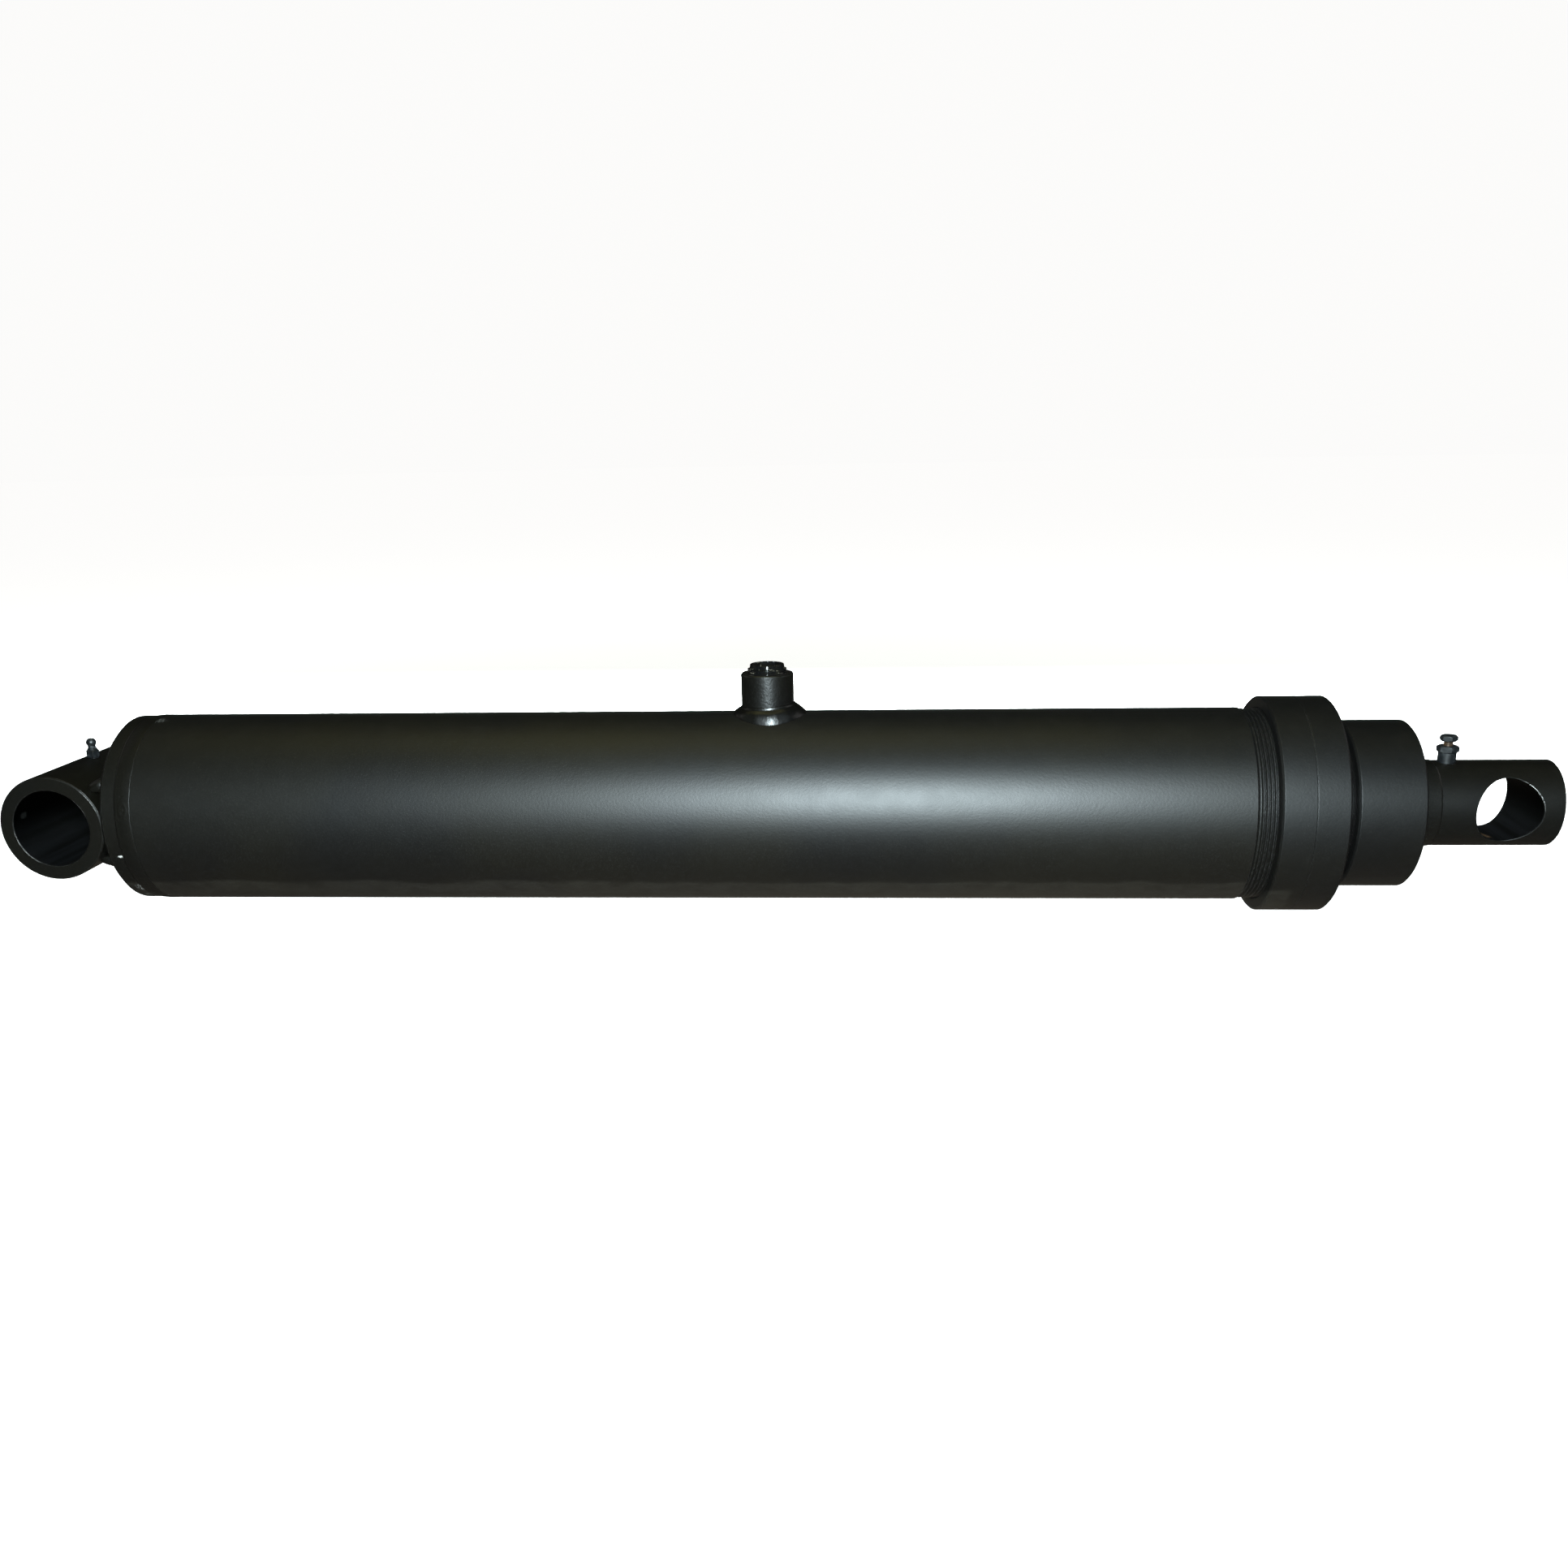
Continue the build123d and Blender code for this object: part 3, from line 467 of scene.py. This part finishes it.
def dark_fitting(name, shine, rusty=None):
    """A steel fitting blackened with paint and oil. Shine is how metallic it still looks, and rusty is a band
    of heights with brown stain."""
    s = Surface(name)
    film = s.noise(0.0026, detail=5, roughness=0.7)
    smooth = s.rounded(0.0004)
    height = s.part(s.place, "Z")
    colour = s.blend(s.span(film, 0.35, 0.65), (0.0030, 0.0038, 0.0044, 1), (0.0085, 0.0100, 0.0110, 1))
    colour = s.blend(s.span(film, 0.50, 0.80, 0.0, shine), colour, (0.16, 0.17, 0.18, 1))
    roughness = s.mix(film, 0.32, 0.44)
    metallic = s.span(film, 0.40, 0.80, 0.0, shine)
    if rusty is not None:
        low, high = rusty
        stain = s.times(s.within(height, low, high, 0.0003), s.span(film, 0.25, 0.55))
        colour = s.blend(stain, colour, (0.060, 0.036, 0.020, 1))
        metallic = s.most(metallic, s.times(stain, 0.45))
    worn = s.times(s.edges(smooth), s.span(s.noise(0.0016, detail=4, roughness=0.7), 0.56, 0.64), 0.22)
    colour = s.blend(worn, colour, (0.50, 0.48, 0.45, 1))
    metallic = s.most(metallic, worn)
    normal = s.bump(film, 0.00005, smooth)
    return s.finish(colour, roughness, normal, metallic, Specular_IOR_Level=0.5)


# --- Mesh building ---
def grid_faces(rows, columns, close_rows=False):
    """Quads over a grid of points whose columns close on themselves, and whose rows may too."""
    faces = []
    for row in range(rows if close_rows else rows - 1):
        next_row = (row + 1) % rows
        for column in range(columns):
            next_column = (column + 1) % columns
            faces.append((row * columns + column, row * columns + next_column,
                          next_row * columns + next_column, next_row * columns + column))
    return faces


def mesh_piece(name, points, faces, body, node, material):
    """A smooth mesh that stands for a CAD node and rides on its body."""
    mesh = bpy.data.meshes.new(name)
    mesh.from_pydata([tuple(point) for point in points], [], faces)
    mesh.polygons.foreach_set("use_smooth", [True] * len(mesh.polygons))
    mesh.materials.append(material)
    mesh.update()
    piece = bpy.data.objects.new(name, mesh)
    bpy.context.scene.collection.objects.link(piece)
    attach(piece, body)
    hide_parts(node)
    return piece


# --- Weld beads ---
# How far the cap weld runs over the barrel past its CAD piece
CAP_WELD_OVERLAP = 1.2 * MM


def wander(along, seed, reach=1.0):
    """Smooth noise from about -1 to 1 along a bead, at a distance in units of reach."""
    return noise.noise(Vector((along / reach, seed, 0.37 * seed)))


def ripple(along, across, pitch, seed):
    """Height of a weld's ripples from 0 to 1: curved scallops, uneven in spacing and strength."""
    bowed = along + 0.9 * pitch * (1 - across * across) + 0.6 * pitch * wander(along, seed, 4 * pitch)
    scallop = abs(math.sin(math.pi * bowed / pitch))
    return scallop * (0.65 + 0.35 * wander(along, seed + 5, 2.3 * pitch))


def round_x(x, r, angle):
    """A point at radius r from the X axis, at an angle from straight out along Y."""
    return (x, r * math.cos(angle), r * math.sin(angle))


def smooth_profile(knots, share):
    """A point on the smooth curve through knots, which are pairs of numbers, as share goes from 0 to 1."""
    place = share * (len(knots) - 1)
    index = min(int(place), len(knots) - 2)
    part = place - index
    before = knots[max(index - 1, 0)]
    first = knots[index]
    second = knots[index + 1]
    after = knots[min(index + 2, len(knots) - 1)]
    point = []
    for a, b, c, d in zip(before, first, second, after):
        bend = 2 * a - 5 * b + 4 * c - d
        twist = 3 * b - a - 3 * c + d
        point.append(0.5 * (2 * b + (c - a) * part + bend * part ** 2 + twist * part ** 3))
    return point


def swirl_rise(angle, x):
    """Rings like ripples in a pond, where the cap weld's last pass stopped."""
    reach = 5.5 * MM
    ring_gap = 1.25 * MM
    height = 0.13 * MM
    swirl_angle = math.radians(168)
    swirl_x = cap_weld_low.x + 0.45 * (cap_weld_high.x + CAP_WELD_OVERLAP - cap_weld_low.x)
    off = math.hypot((angle - swirl_angle) * barrel_r * 0.6, x - swirl_x)
    if off >= reach:
        return 0.0
    return height * math.cos(off / ring_gap * math.pi) * (1 - off / reach)


def pit_depth(angle, x):
    """A pinhole left by a gas bubble."""
    pit_angle = math.radians(160)
    pit_x = cap_weld_low.x + 3.6 * MM
    off = math.hypot((angle - pit_angle) * barrel_r, x - pit_x)
    return 0.30 * MM * math.exp(-(off / (0.7 * MM)) ** 2)


def cap_weld_points():
    """The weld round the cap: a low bead with soft edges, and the swirl where its last pass stopped."""
    steps = 960
    across_steps = 16
    end_x = cap_weld_high.x + CAP_WELD_OVERLAP
    edge_sink = 0.02 * MM
    root_r = cap_r - 1.2 * MM
    points = []
    for step in range(steps):
        angle = 2 * math.pi * step / steps
        along = angle * barrel_r
        left = cap_weld_low.x - MM * (1.40 + 0.30 * wander(along, 1, 11 * MM))
        right = end_x + MM * (0.30 * wander(along, 2, 9 * MM))
        for column in range(across_steps + 1):
            share = column / across_steps
            across = 2 * share - 1
            x = left + share * (right - left)
            base = cap_r + (barrel_r - cap_r) * (3 - 2 * share) * share ** 2
            body = (1 - across ** 2) ** 1.6
            waves = 0.05 * ripple(along, across, 3.4 * MM, 3) + 0.05 * wander(along, 6, 16 * MM)
            rise = MM * body * (0.26 + waves) + swirl_rise(angle, x) - pit_depth(angle, x)
            sink = edge_sink if column in (0, across_steps) else 0
            points.append(round_x(x, base + rise - sink, angle))
        points.append(round_x(right - 2.5 * MM, root_r, angle))
        points.append(round_x(left + 1.5 * MM, root_r, angle))
    return points, grid_faces(steps, across_steps + 3, close_rows=True)


def rod_weld_points():
    """The weld at the bar's root: a smooth low collar whose wavy toe stands a little proud of the bar."""
    steps = 600
    across_steps = 14
    root_x = rod_weld_low.x
    root_r = rod_weld_high.z
    toe_foot_r = bar_r - 0.1 * MM
    inner_r = bar_r - 0.8 * MM
    points = []
    for step in range(steps):
        angle = 2 * math.pi * step / steps
        along = angle * bar_r
        waver = 0.9 * abs(wander(along, 11, 7 * MM)) + 0.25 * wander(along, 12, 2 * MM)
        toe_x = rod_weld_high.x - MM * waver
        toe_r = bar_r + MM * (0.36 + 0.10 * wander(along, 14, 5 * MM))
        for column in range(across_steps + 1):
            share = column / across_steps
            r = root_r + (toe_r - root_r) * math.sqrt(share)
            r += 0.05 * MM * ripple(along, 2 * share - 1, 3.4 * MM, 13) * math.sin(math.pi * share)
            points.append(round_x(root_x + share * (toe_x - root_x), r, angle))
        points.append(round_x(toe_x + 0.18 * MM, toe_foot_r, angle))
        points.append(round_x(toe_x - 0.5 * MM, inner_r, angle))
        points.append(round_x(root_x, inner_r, angle))
    return points, grid_faces(steps, across_steps + 4, close_rows=True)


def port_weld_points():
    """The saddle weld round the port boss: a rolled upper edge, a hollow slope and a steep rim."""
    steps = 480
    across_steps = 30
    # The slope's outline: how far out and how far down, as shares of the weld's width and height
    knots = ((-0.04, 0.0), (0.05, -0.02), (0.11, 0.02), (0.15, 0.09), (0.20, 0.17), (0.34, 0.24),
             (0.50, 0.31), (0.66, 0.43), (0.79, 0.58), (0.89, 0.73), (0.96, 0.88), (1.01, 1.03))
    under_r = boss_r + 0.5 * MM
    root_r = boss_r - 0.6 * MM
    points = []
    for step in range(steps):
        angle = 2 * math.pi * step / steps
        along = angle * port_weld_r
        cosine = math.cos(angle)
        sine = math.sin(angle)
        toe_r = MM * (23.6 + 1.2 * cosine + 0.9 * cosine ** 2 + 0.40 * wander(along, 21, 7 * MM))
        top_z = MM * (69.3 + 1.2 * cosine + 0.25 * wander(along, 23, 8 * MM))
        toe_z = math.sqrt(barrel_r ** 2 - (toe_r * sine) ** 2)
        for column in range(across_steps + 1):
            share = column / across_steps
            out, down = smooth_profile(knots, share)
            down += 0.8 * (out - down) * cosine ** 4
            lower = max(0.0, min(1.0, (share - 0.35) / 0.4))
            swell = lower * lower * (3 - 2 * lower) * math.sin(math.pi * min(1.0, 1.04 * share))
            r = boss_r + out * (toe_r - boss_r)
            z = top_z + down * (toe_z - top_z)
            place = Vector((r * cosine, r * sine, z))
            lump = 0.34 * noise.noise(place / (5.5 * MM)) + 0.12 * noise.noise(place / (2.2 * MM))
            r += MM * lump * swell * 0.8
            z += MM * lump * swell * 0.6
            points.append((port_x + r * cosine, r * sine, z))
        low_z = math.sqrt(barrel_r ** 2 - (under_r * sine) ** 2) - 0.8 * MM
        points.append((port_x + under_r * cosine, under_r * sine, low_z))
        points.append((port_x + root_r * cosine, root_r * sine, low_z))
    return points, grid_faces(steps, across_steps + 3, close_rows=True)


def eye_weld_points(side):
    """One fillet weld between the cross tube and the cap's face, above (side 1) or below (side -1)."""
    steps = 260
    across_steps = 12
    set_in = 3 * MM
    taper_length = 9 * MM
    cap_drop = 0.5 * MM if side > 0 else 2.0 * MM
    tube_x = eye_weld_low.x
    tube_z = math.sqrt(eye_r ** 2 - tube_x ** 2)
    cap_x = eye_weld_high.x
    cap_z = eye_weld_high.z - cap_drop
    middle_x = (tube_x + cap_x) / 2
    middle_z = (tube_z + cap_z) / 2
    start_y = eye_weld_low.y + set_in
    length = eye_weld_high.y - eye_weld_low.y - 2 * set_in
    points = []
    for step in range(steps + 1):
        along = step / steps * length
        end = min(1.0, min(along, length - along) / taper_length)
        taper = math.sqrt(max(0.0, 1 - (1 - end) ** 2))
        y = start_y + along
        width = 0.20 + 0.80 * taper
        for column in range(across_steps + 1):
            share = column / across_steps
            across = 2 * share - 1
            swell = math.sin(math.pi * share)
            lift = MM * swell * (0.35 + 0.35 * ripple(along, across, 3.2 * MM, 31 + side))
            lift += MM * 0.3 * swell * wander(along, 35 + side, 9 * MM)
            x = tube_x + share * (cap_x - tube_x) - 0.57 * lift * taper
            z = tube_z + share * (cap_z - tube_z) + 0.82 * lift * taper
            x = middle_x + (x - middle_x) * width
            z = middle_z + (z - middle_z) * width - 3.0 * MM * (1 - taper)
            points.append((x, y, side * z))
        points.append((cap_x, y, side * (cap_z - 9 * MM)))
        points.append((tube_x + 2 * MM, y, side * (tube_z - 5 * MM)))
    columns = across_steps + 3
    faces = grid_faces(steps + 1, columns)
    first = tuple(range(columns))
    last = tuple(steps * columns + column for column in range(columns))
    faces += [first[::-1], last]
    return points, faces


def eye_welds():
    """Both fillet welds as one pair of closed meshes."""
    points, faces = eye_weld_points(1)
    more_points, more_faces = eye_weld_points(-1)
    shift = len(points)
    faces += [tuple(index + shift for index in reversed(face)) for face in more_faces]
    return points + more_points, faces


# --- Stage, lights and camera ---
ROOM_RADIUS = 20.0
ROOM_WHITE = (1.0, 0.995, 0.985, 1)
NEAR_GLOW = 0.78
FAR_GLOW = 0.97
# The floor's glow grows between these distances from the port
NEAR_END = 0.9
FAR_START = 1.8
AIR_ABOVE = 0.012
AIR_BELOW = 0.24
KEY_POWER = 36.0
TOP_POWER = 4.5
BACK_POWER = 90.0
END_POWER = 3.0
BASE_POWER = 1.5
KEY_BLUE = (0.80, 0.95, 1.0)
TOP_YELLOW = (1.0, 0.93, 0.38)
BACK_BLUE = (0.90, 0.97, 1.0)
END_WHITE = (1.0, 0.98, 0.95)


def area_light(name, place, target, width, height, energy, colour):
    data = bpy.data.lights.new(name, "AREA")
    data.shape = "RECTANGLE"
    data.size = width
    data.size_y = height
    data.energy = energy
    data.color = colour
    light = bpy.data.objects.new(name, data)
    light.location = place
    light.rotation_euler = (Vector(target) - Vector(place)).to_track_quat("-Z", "Y").to_euler()
    light.visible_camera = False
    bpy.context.scene.collection.objects.link(light)
    return light


def stage_mesh(name, points, faces, material):
    mesh = bpy.data.meshes.new(name)
    mesh.from_pydata(points, [], faces)
    mesh.materials.append(material)
    backdrop = bpy.data.objects.new(name, mesh)
    bpy.context.scene.collection.objects.link(backdrop)
    return backdrop


def floor_material():
    """Pale matt floor that glows a little, and more where no lamp reaches it."""
    s = Surface("floor_pale")
    grain = s.noise(0.35, detail=4)
    colour = s.blend(grain, (0.84, 0.84, 0.83, 1), (0.86, 0.86, 0.85, 1))
    normal = s.bump(s.noise(0.004, detail=2), 0.00002)
    glow = s.span(s.radius((1, 1, 0), port_x), NEAR_END, FAR_START, NEAR_GLOW, FAR_GLOW)
    s.feed(s.shader.inputs["Emission Strength"], glow)
    return s.finish(colour, 0.7, normal, Emission_Color=ROOM_WHITE)


def backdrop_material():
    """A pale glow for the dome."""
    s = Surface("backdrop_pale")
    normal = s.bump(s.noise(1.0), 0.0001)
    return s.finish((0, 0, 0, 1), 1.0, normal, Emission_Color=ROOM_WHITE, Emission_Strength=FAR_GLOW,
                    Specular_IOR_Level=0.0)


def build_room():
    """A pale floor that meets a pale dome. The dome is only there to be seen: it lights nothing."""
    sides = 96
    tiers = 12
    floor_z = cad_low.z
    turns = [2 * math.pi * side / sides for side in range(sides)]
    rim = [(ROOM_RADIUS * math.cos(turn), ROOM_RADIUS * math.sin(turn)) for turn in turns]
    floor_points = [(x, y, floor_z) for x, y in rim]
    floor = stage_mesh("studio_floor", floor_points, [tuple(range(sides))], floor_material())
    floor.visible_glossy = False
    points = []
    for tier in range(tiers + 1):
        tilt = 0.5 * math.pi * tier / tiers
        height = floor_z + ROOM_RADIUS * math.sin(tilt)
        points += [(x * math.cos(tilt), y * math.cos(tilt), height) for x, y in rim]
    dome = stage_mesh("studio_dome", points, grid_faces(tiers + 1, sides), backdrop_material())
    for kind in ("diffuse", "glossy", "transmission", "volume_scatter", "shadow"):
        setattr(dome, "visible_" + kind, False)


def build_air():
    """Soft light from all round, as in a dark room: a little from below, and less from either end."""
    world = bpy.data.worlds.new("studio_air")
    world.use_nodes = True
    tree = world.node_tree
    background = tree.nodes["Background"]
    direction = tree.nodes.new("ShaderNodeTexCoord")
    parts = tree.nodes.new("ShaderNodeSeparateXYZ")
    tree.links.new(direction.outputs["Generated"], parts.inputs[0])
    sideways = tree.nodes.new("ShaderNodeMath")
    sideways.operation = "ABSOLUTE"
    tree.links.new(parts.outputs["X"], sideways.inputs[0])
    by_height = (parts.outputs["Z"], 0.15, -0.65, AIR_ABOVE, AIR_BELOW)
    by_side = (sideways.outputs[0], 0.50, 0.05, 0.30, 1.0)
    product = tree.nodes.new("ShaderNodeMath")
    product.operation = "MULTIPLY"
    for index, (source, *numbers) in enumerate((by_height, by_side)):
        span = tree.nodes.new("ShaderNodeMapRange")
        span.interpolation_type = "SMOOTHSTEP"
        tree.links.new(source, span.inputs["Value"])
        for key, number in zip(("From Min", "From Max", "To Min", "To Max"), numbers):
            span.inputs[key].default_value = number
        tree.links.new(span.outputs["Result"], product.inputs[index])
    tree.links.new(product.outputs[0], background.inputs["Strength"])
    background.inputs["Color"].default_value = (1.0, 0.88, 0.70, 1)
    bpy.context.scene.world = world


def build_lights():
    """A narrow key beside the camera, a soft top light, and weak lights for the back and the two ends.
    The back light gives no reflections, which would show along the barrel's top edge."""
    middle = (port_x, 0, 0)
    area_light("key_softbox", (0.56, -0.96, 0.36), middle, 0.10, 0.44, KEY_POWER, KEY_BLUE)
    area_light("top_softbox", (0.26, 0.05, 1.8), (0.26, 0, 0), 1.5, 1.0, TOP_POWER, TOP_YELLOW)
    back = area_light("back_softbox", (port_x, 1.0, 0.16), middle, 1.5, 0.24, BACK_POWER, BACK_BLUE)
    back.visible_glossy = False
    area_light("end_softbox", (2.6, 0.5, 1.0), (0.9, 0, 0), 1.2, 0.8, END_POWER, END_WHITE)
    area_light("base_softbox", (-1.7, 0.5, 1.0), (0, 0, 0), 1.2, 0.8, BASE_POWER, END_WHITE)


def build_camera():
    """The photographer's place: level with the top of the port, a little right of the middle."""
    data = bpy.data.cameras.new("camera")
    data.sensor_width = 36
    data.lens = 31.656
    data.shift_x = -0.00668
    data.shift_y = 0.05214
    data.clip_start = 0.01
    data.clip_end = 200
    camera = bpy.data.objects.new("camera", data)
    camera.location = (0.5444, -0.9036, 0.2339)
    camera.rotation_euler = Euler([math.radians(a) for a in (72.960, 1.037, 3.386)])
    bpy.context.scene.collection.objects.link(camera)
    bpy.context.scene.camera = camera


# --- Putting the looks on ---
def dress(node, material):
    """Gives a CAD node its finished material."""
    slots = nodes[node].data.materials
    for index in range(len(slots)):
        slots[index] = material


def dress_barrel():
    """The painted pieces of the barrel, with their scrapes, rubbed edges and low dust."""
    flat = (1, 1, 1)
    front_y = eye_low.y
    scrapes = (((0.0555, -0.0110, 0.0628), 0.0070, (1.4, 0.8, 0.5), 0.36),
               ((0.0475, -0.0440, -0.0455), 0.0065, (1.1, 1.0, 0.8), 0.35),
               ((0.0500, -0.0335, -0.0540), 0.0060, (1.5, 1.0, 0.6), 0.30),
               ((0.0470, -0.0600, -0.0190), 0.0046, (1.3, 1.0, 0.26), 0.9))
    tube_dust = (0.0542, BARREL_THREAD_X)
    cap_dust = (0.0545, BARREL_THREAD_X)
    nut_dust = (0.0600, head_nut_x + 0.013)
    # Bare steel at the bore's lower left edge, and on the outer upper right edge, where it also paints a
    # highlight arc
    eye_worn_and_glint = (((-0.0215, front_y, -0.0140), 0.0150, flat), ((0.0290, front_y, 0.0170), 0.0110, flat))
    eye_bore = (0.0, eye_bore_r, ((-0.0240, front_y + 0.011, 0.0060), 0.0030, (1, 1.6, 1)))
    # On the tube, the light wear also paints the fine glints on its thread crests
    dress("barrel_tube", black_paint("paint_tube", wear_and_glint=0.06, scuffs=scrapes, dusty=tube_dust))
    # The cap's edges are rubbed more: wear, and also a painted highlight along its rim's chamfer
    dress("base_cap", black_paint("paint_cap", wear_and_glint=0.14, scuffs=scrapes, dusty=cap_dust, shine=0.30))
    dress("base_eye_tube", black_paint("paint_eye", wear_and_glint=0.06, worn=eye_worn_and_glint, bore=eye_bore, shine=0.25))
    dress("port_boss", black_paint("paint_boss", gloss=0.10, peel=2.6, wear_and_glint=0.10))
    dress("head_nut", black_paint("paint_head_nut", wear_and_glint=0.02, gloss=0.01, dusty=nut_dust))


def dress_stages():
    """The sleeve's nut, the plunger's rod end and the plated tubes."""
    flat = (1, 1, 1)
    # Bare steel on the rod eye's edge at its upper right, which also paints the bright glint along that
    # chamfer
    bar_worn_and_glint = (((rod_eye_x + 0.0175, -0.0240, 0.0105), 0.0125, flat),)
    bar_rust = (((rod_eye_x - 0.0080, -0.0095, -0.0191), 0.0060, (1.2, 1.3, 0.7)),)
    bar_bore = (rod_eye_x, rod_eye_bore_r, None)
    dress("sleeve_nut", black_paint("paint_sleeve_nut", wear_and_glint=0.02, gloss=0.01))
    dress("rod_end_bar",
          black_paint("paint_bar", wear_and_glint=0.03, worn=bar_worn_and_glint, rust=bar_rust, bore=bar_bore, shine=0.27))
    dress("sleeve_tube", hard_chrome("chrome_sleeve", thread_x=SLEEVE_THREAD_X))
    chrome = hard_chrome("chrome_plunger")
    dress("plunger_tube", chrome)
    dress("plunger_head", chrome)


def dress_inside():
    """Bearings, rings, packings and wipers."""
    bronze = bearing_bronze("bronze")
    for node in ("head_bearing", "sleeve_bearing", "sleeve_guide_ring", "plunger_guide_ring"):
        dress(node, bronze)
    steel = ring_steel("steel_ring")
    for stage_name in ("sleeve", "plunger"):
        dress(stage_name + "_stop_ring", steel)
        dress(stage_name + "_retaining_ring", steel)
    packing = rubber("rubber_packing", PACKING_DARK, PACKING_LIGHT, 0.55)
    for stage_name in ("head", "sleeve"):
        for piece in ("header", "rings", "follower"):
            dress(stage_name + "_packing_" + piece, packing)
        wiper = rubber("rubber_wiper_" + stage_name, WIPER_DARK, WIPER_LIGHT, 0.50)
        dress(stage_name + "_wiper", wiper)


def dress_fittings():
    """The shipping plug, the grease fitting and the bleeder, with a brown stain on its needle's neck."""
    neck = (bleeder_hex_z, bleeder_hex_z + 3.0 * MM)
    dress("port_plug", plug_plastic("plastic_plug"))
    dress("grease_fitting", dark_fitting("fitting_grease", shine=0.45))
    dress("bleeder_body", dark_fitting("fitting_bleeder", shine=0.20))
    dress("bleeder_screw", dark_fitting("fitting_knob", shine=0.25, rusty=neck))


def add_welds():
    """The four weld beads, which stand for the plain welds of the CAD model."""
    paint = black_paint("paint_weld", gloss=0.03, wear_and_glint=0.0, shine=0.36)
    dull = black_paint("paint_eye_weld", wear_and_glint=0.0, shine=0.22)
    glossy = black_paint("paint_port_weld", gloss=0.15, peel=1.8, wear_and_glint=0.0)
    mesh_piece("cap_weld_bead", *cap_weld_points(), "barrel", "base_cap_weld", paint)
    mesh_piece("port_weld_bead", *port_weld_points(), "barrel", "port_weld", glossy)
    mesh_piece("eye_weld_beads", *eye_welds(), "barrel", "base_eye_weld", dull)
    mesh_piece("rod_weld_bead", *rod_weld_points(), "plunger", "rod_end_weld", paint)


bpy.context.scene.view_settings.view_transform = "Standard"
dress_barrel()
dress_stages()
dress_inside()
dress_fittings()
add_welds()
build_room()
build_air()
build_lights()
build_camera()
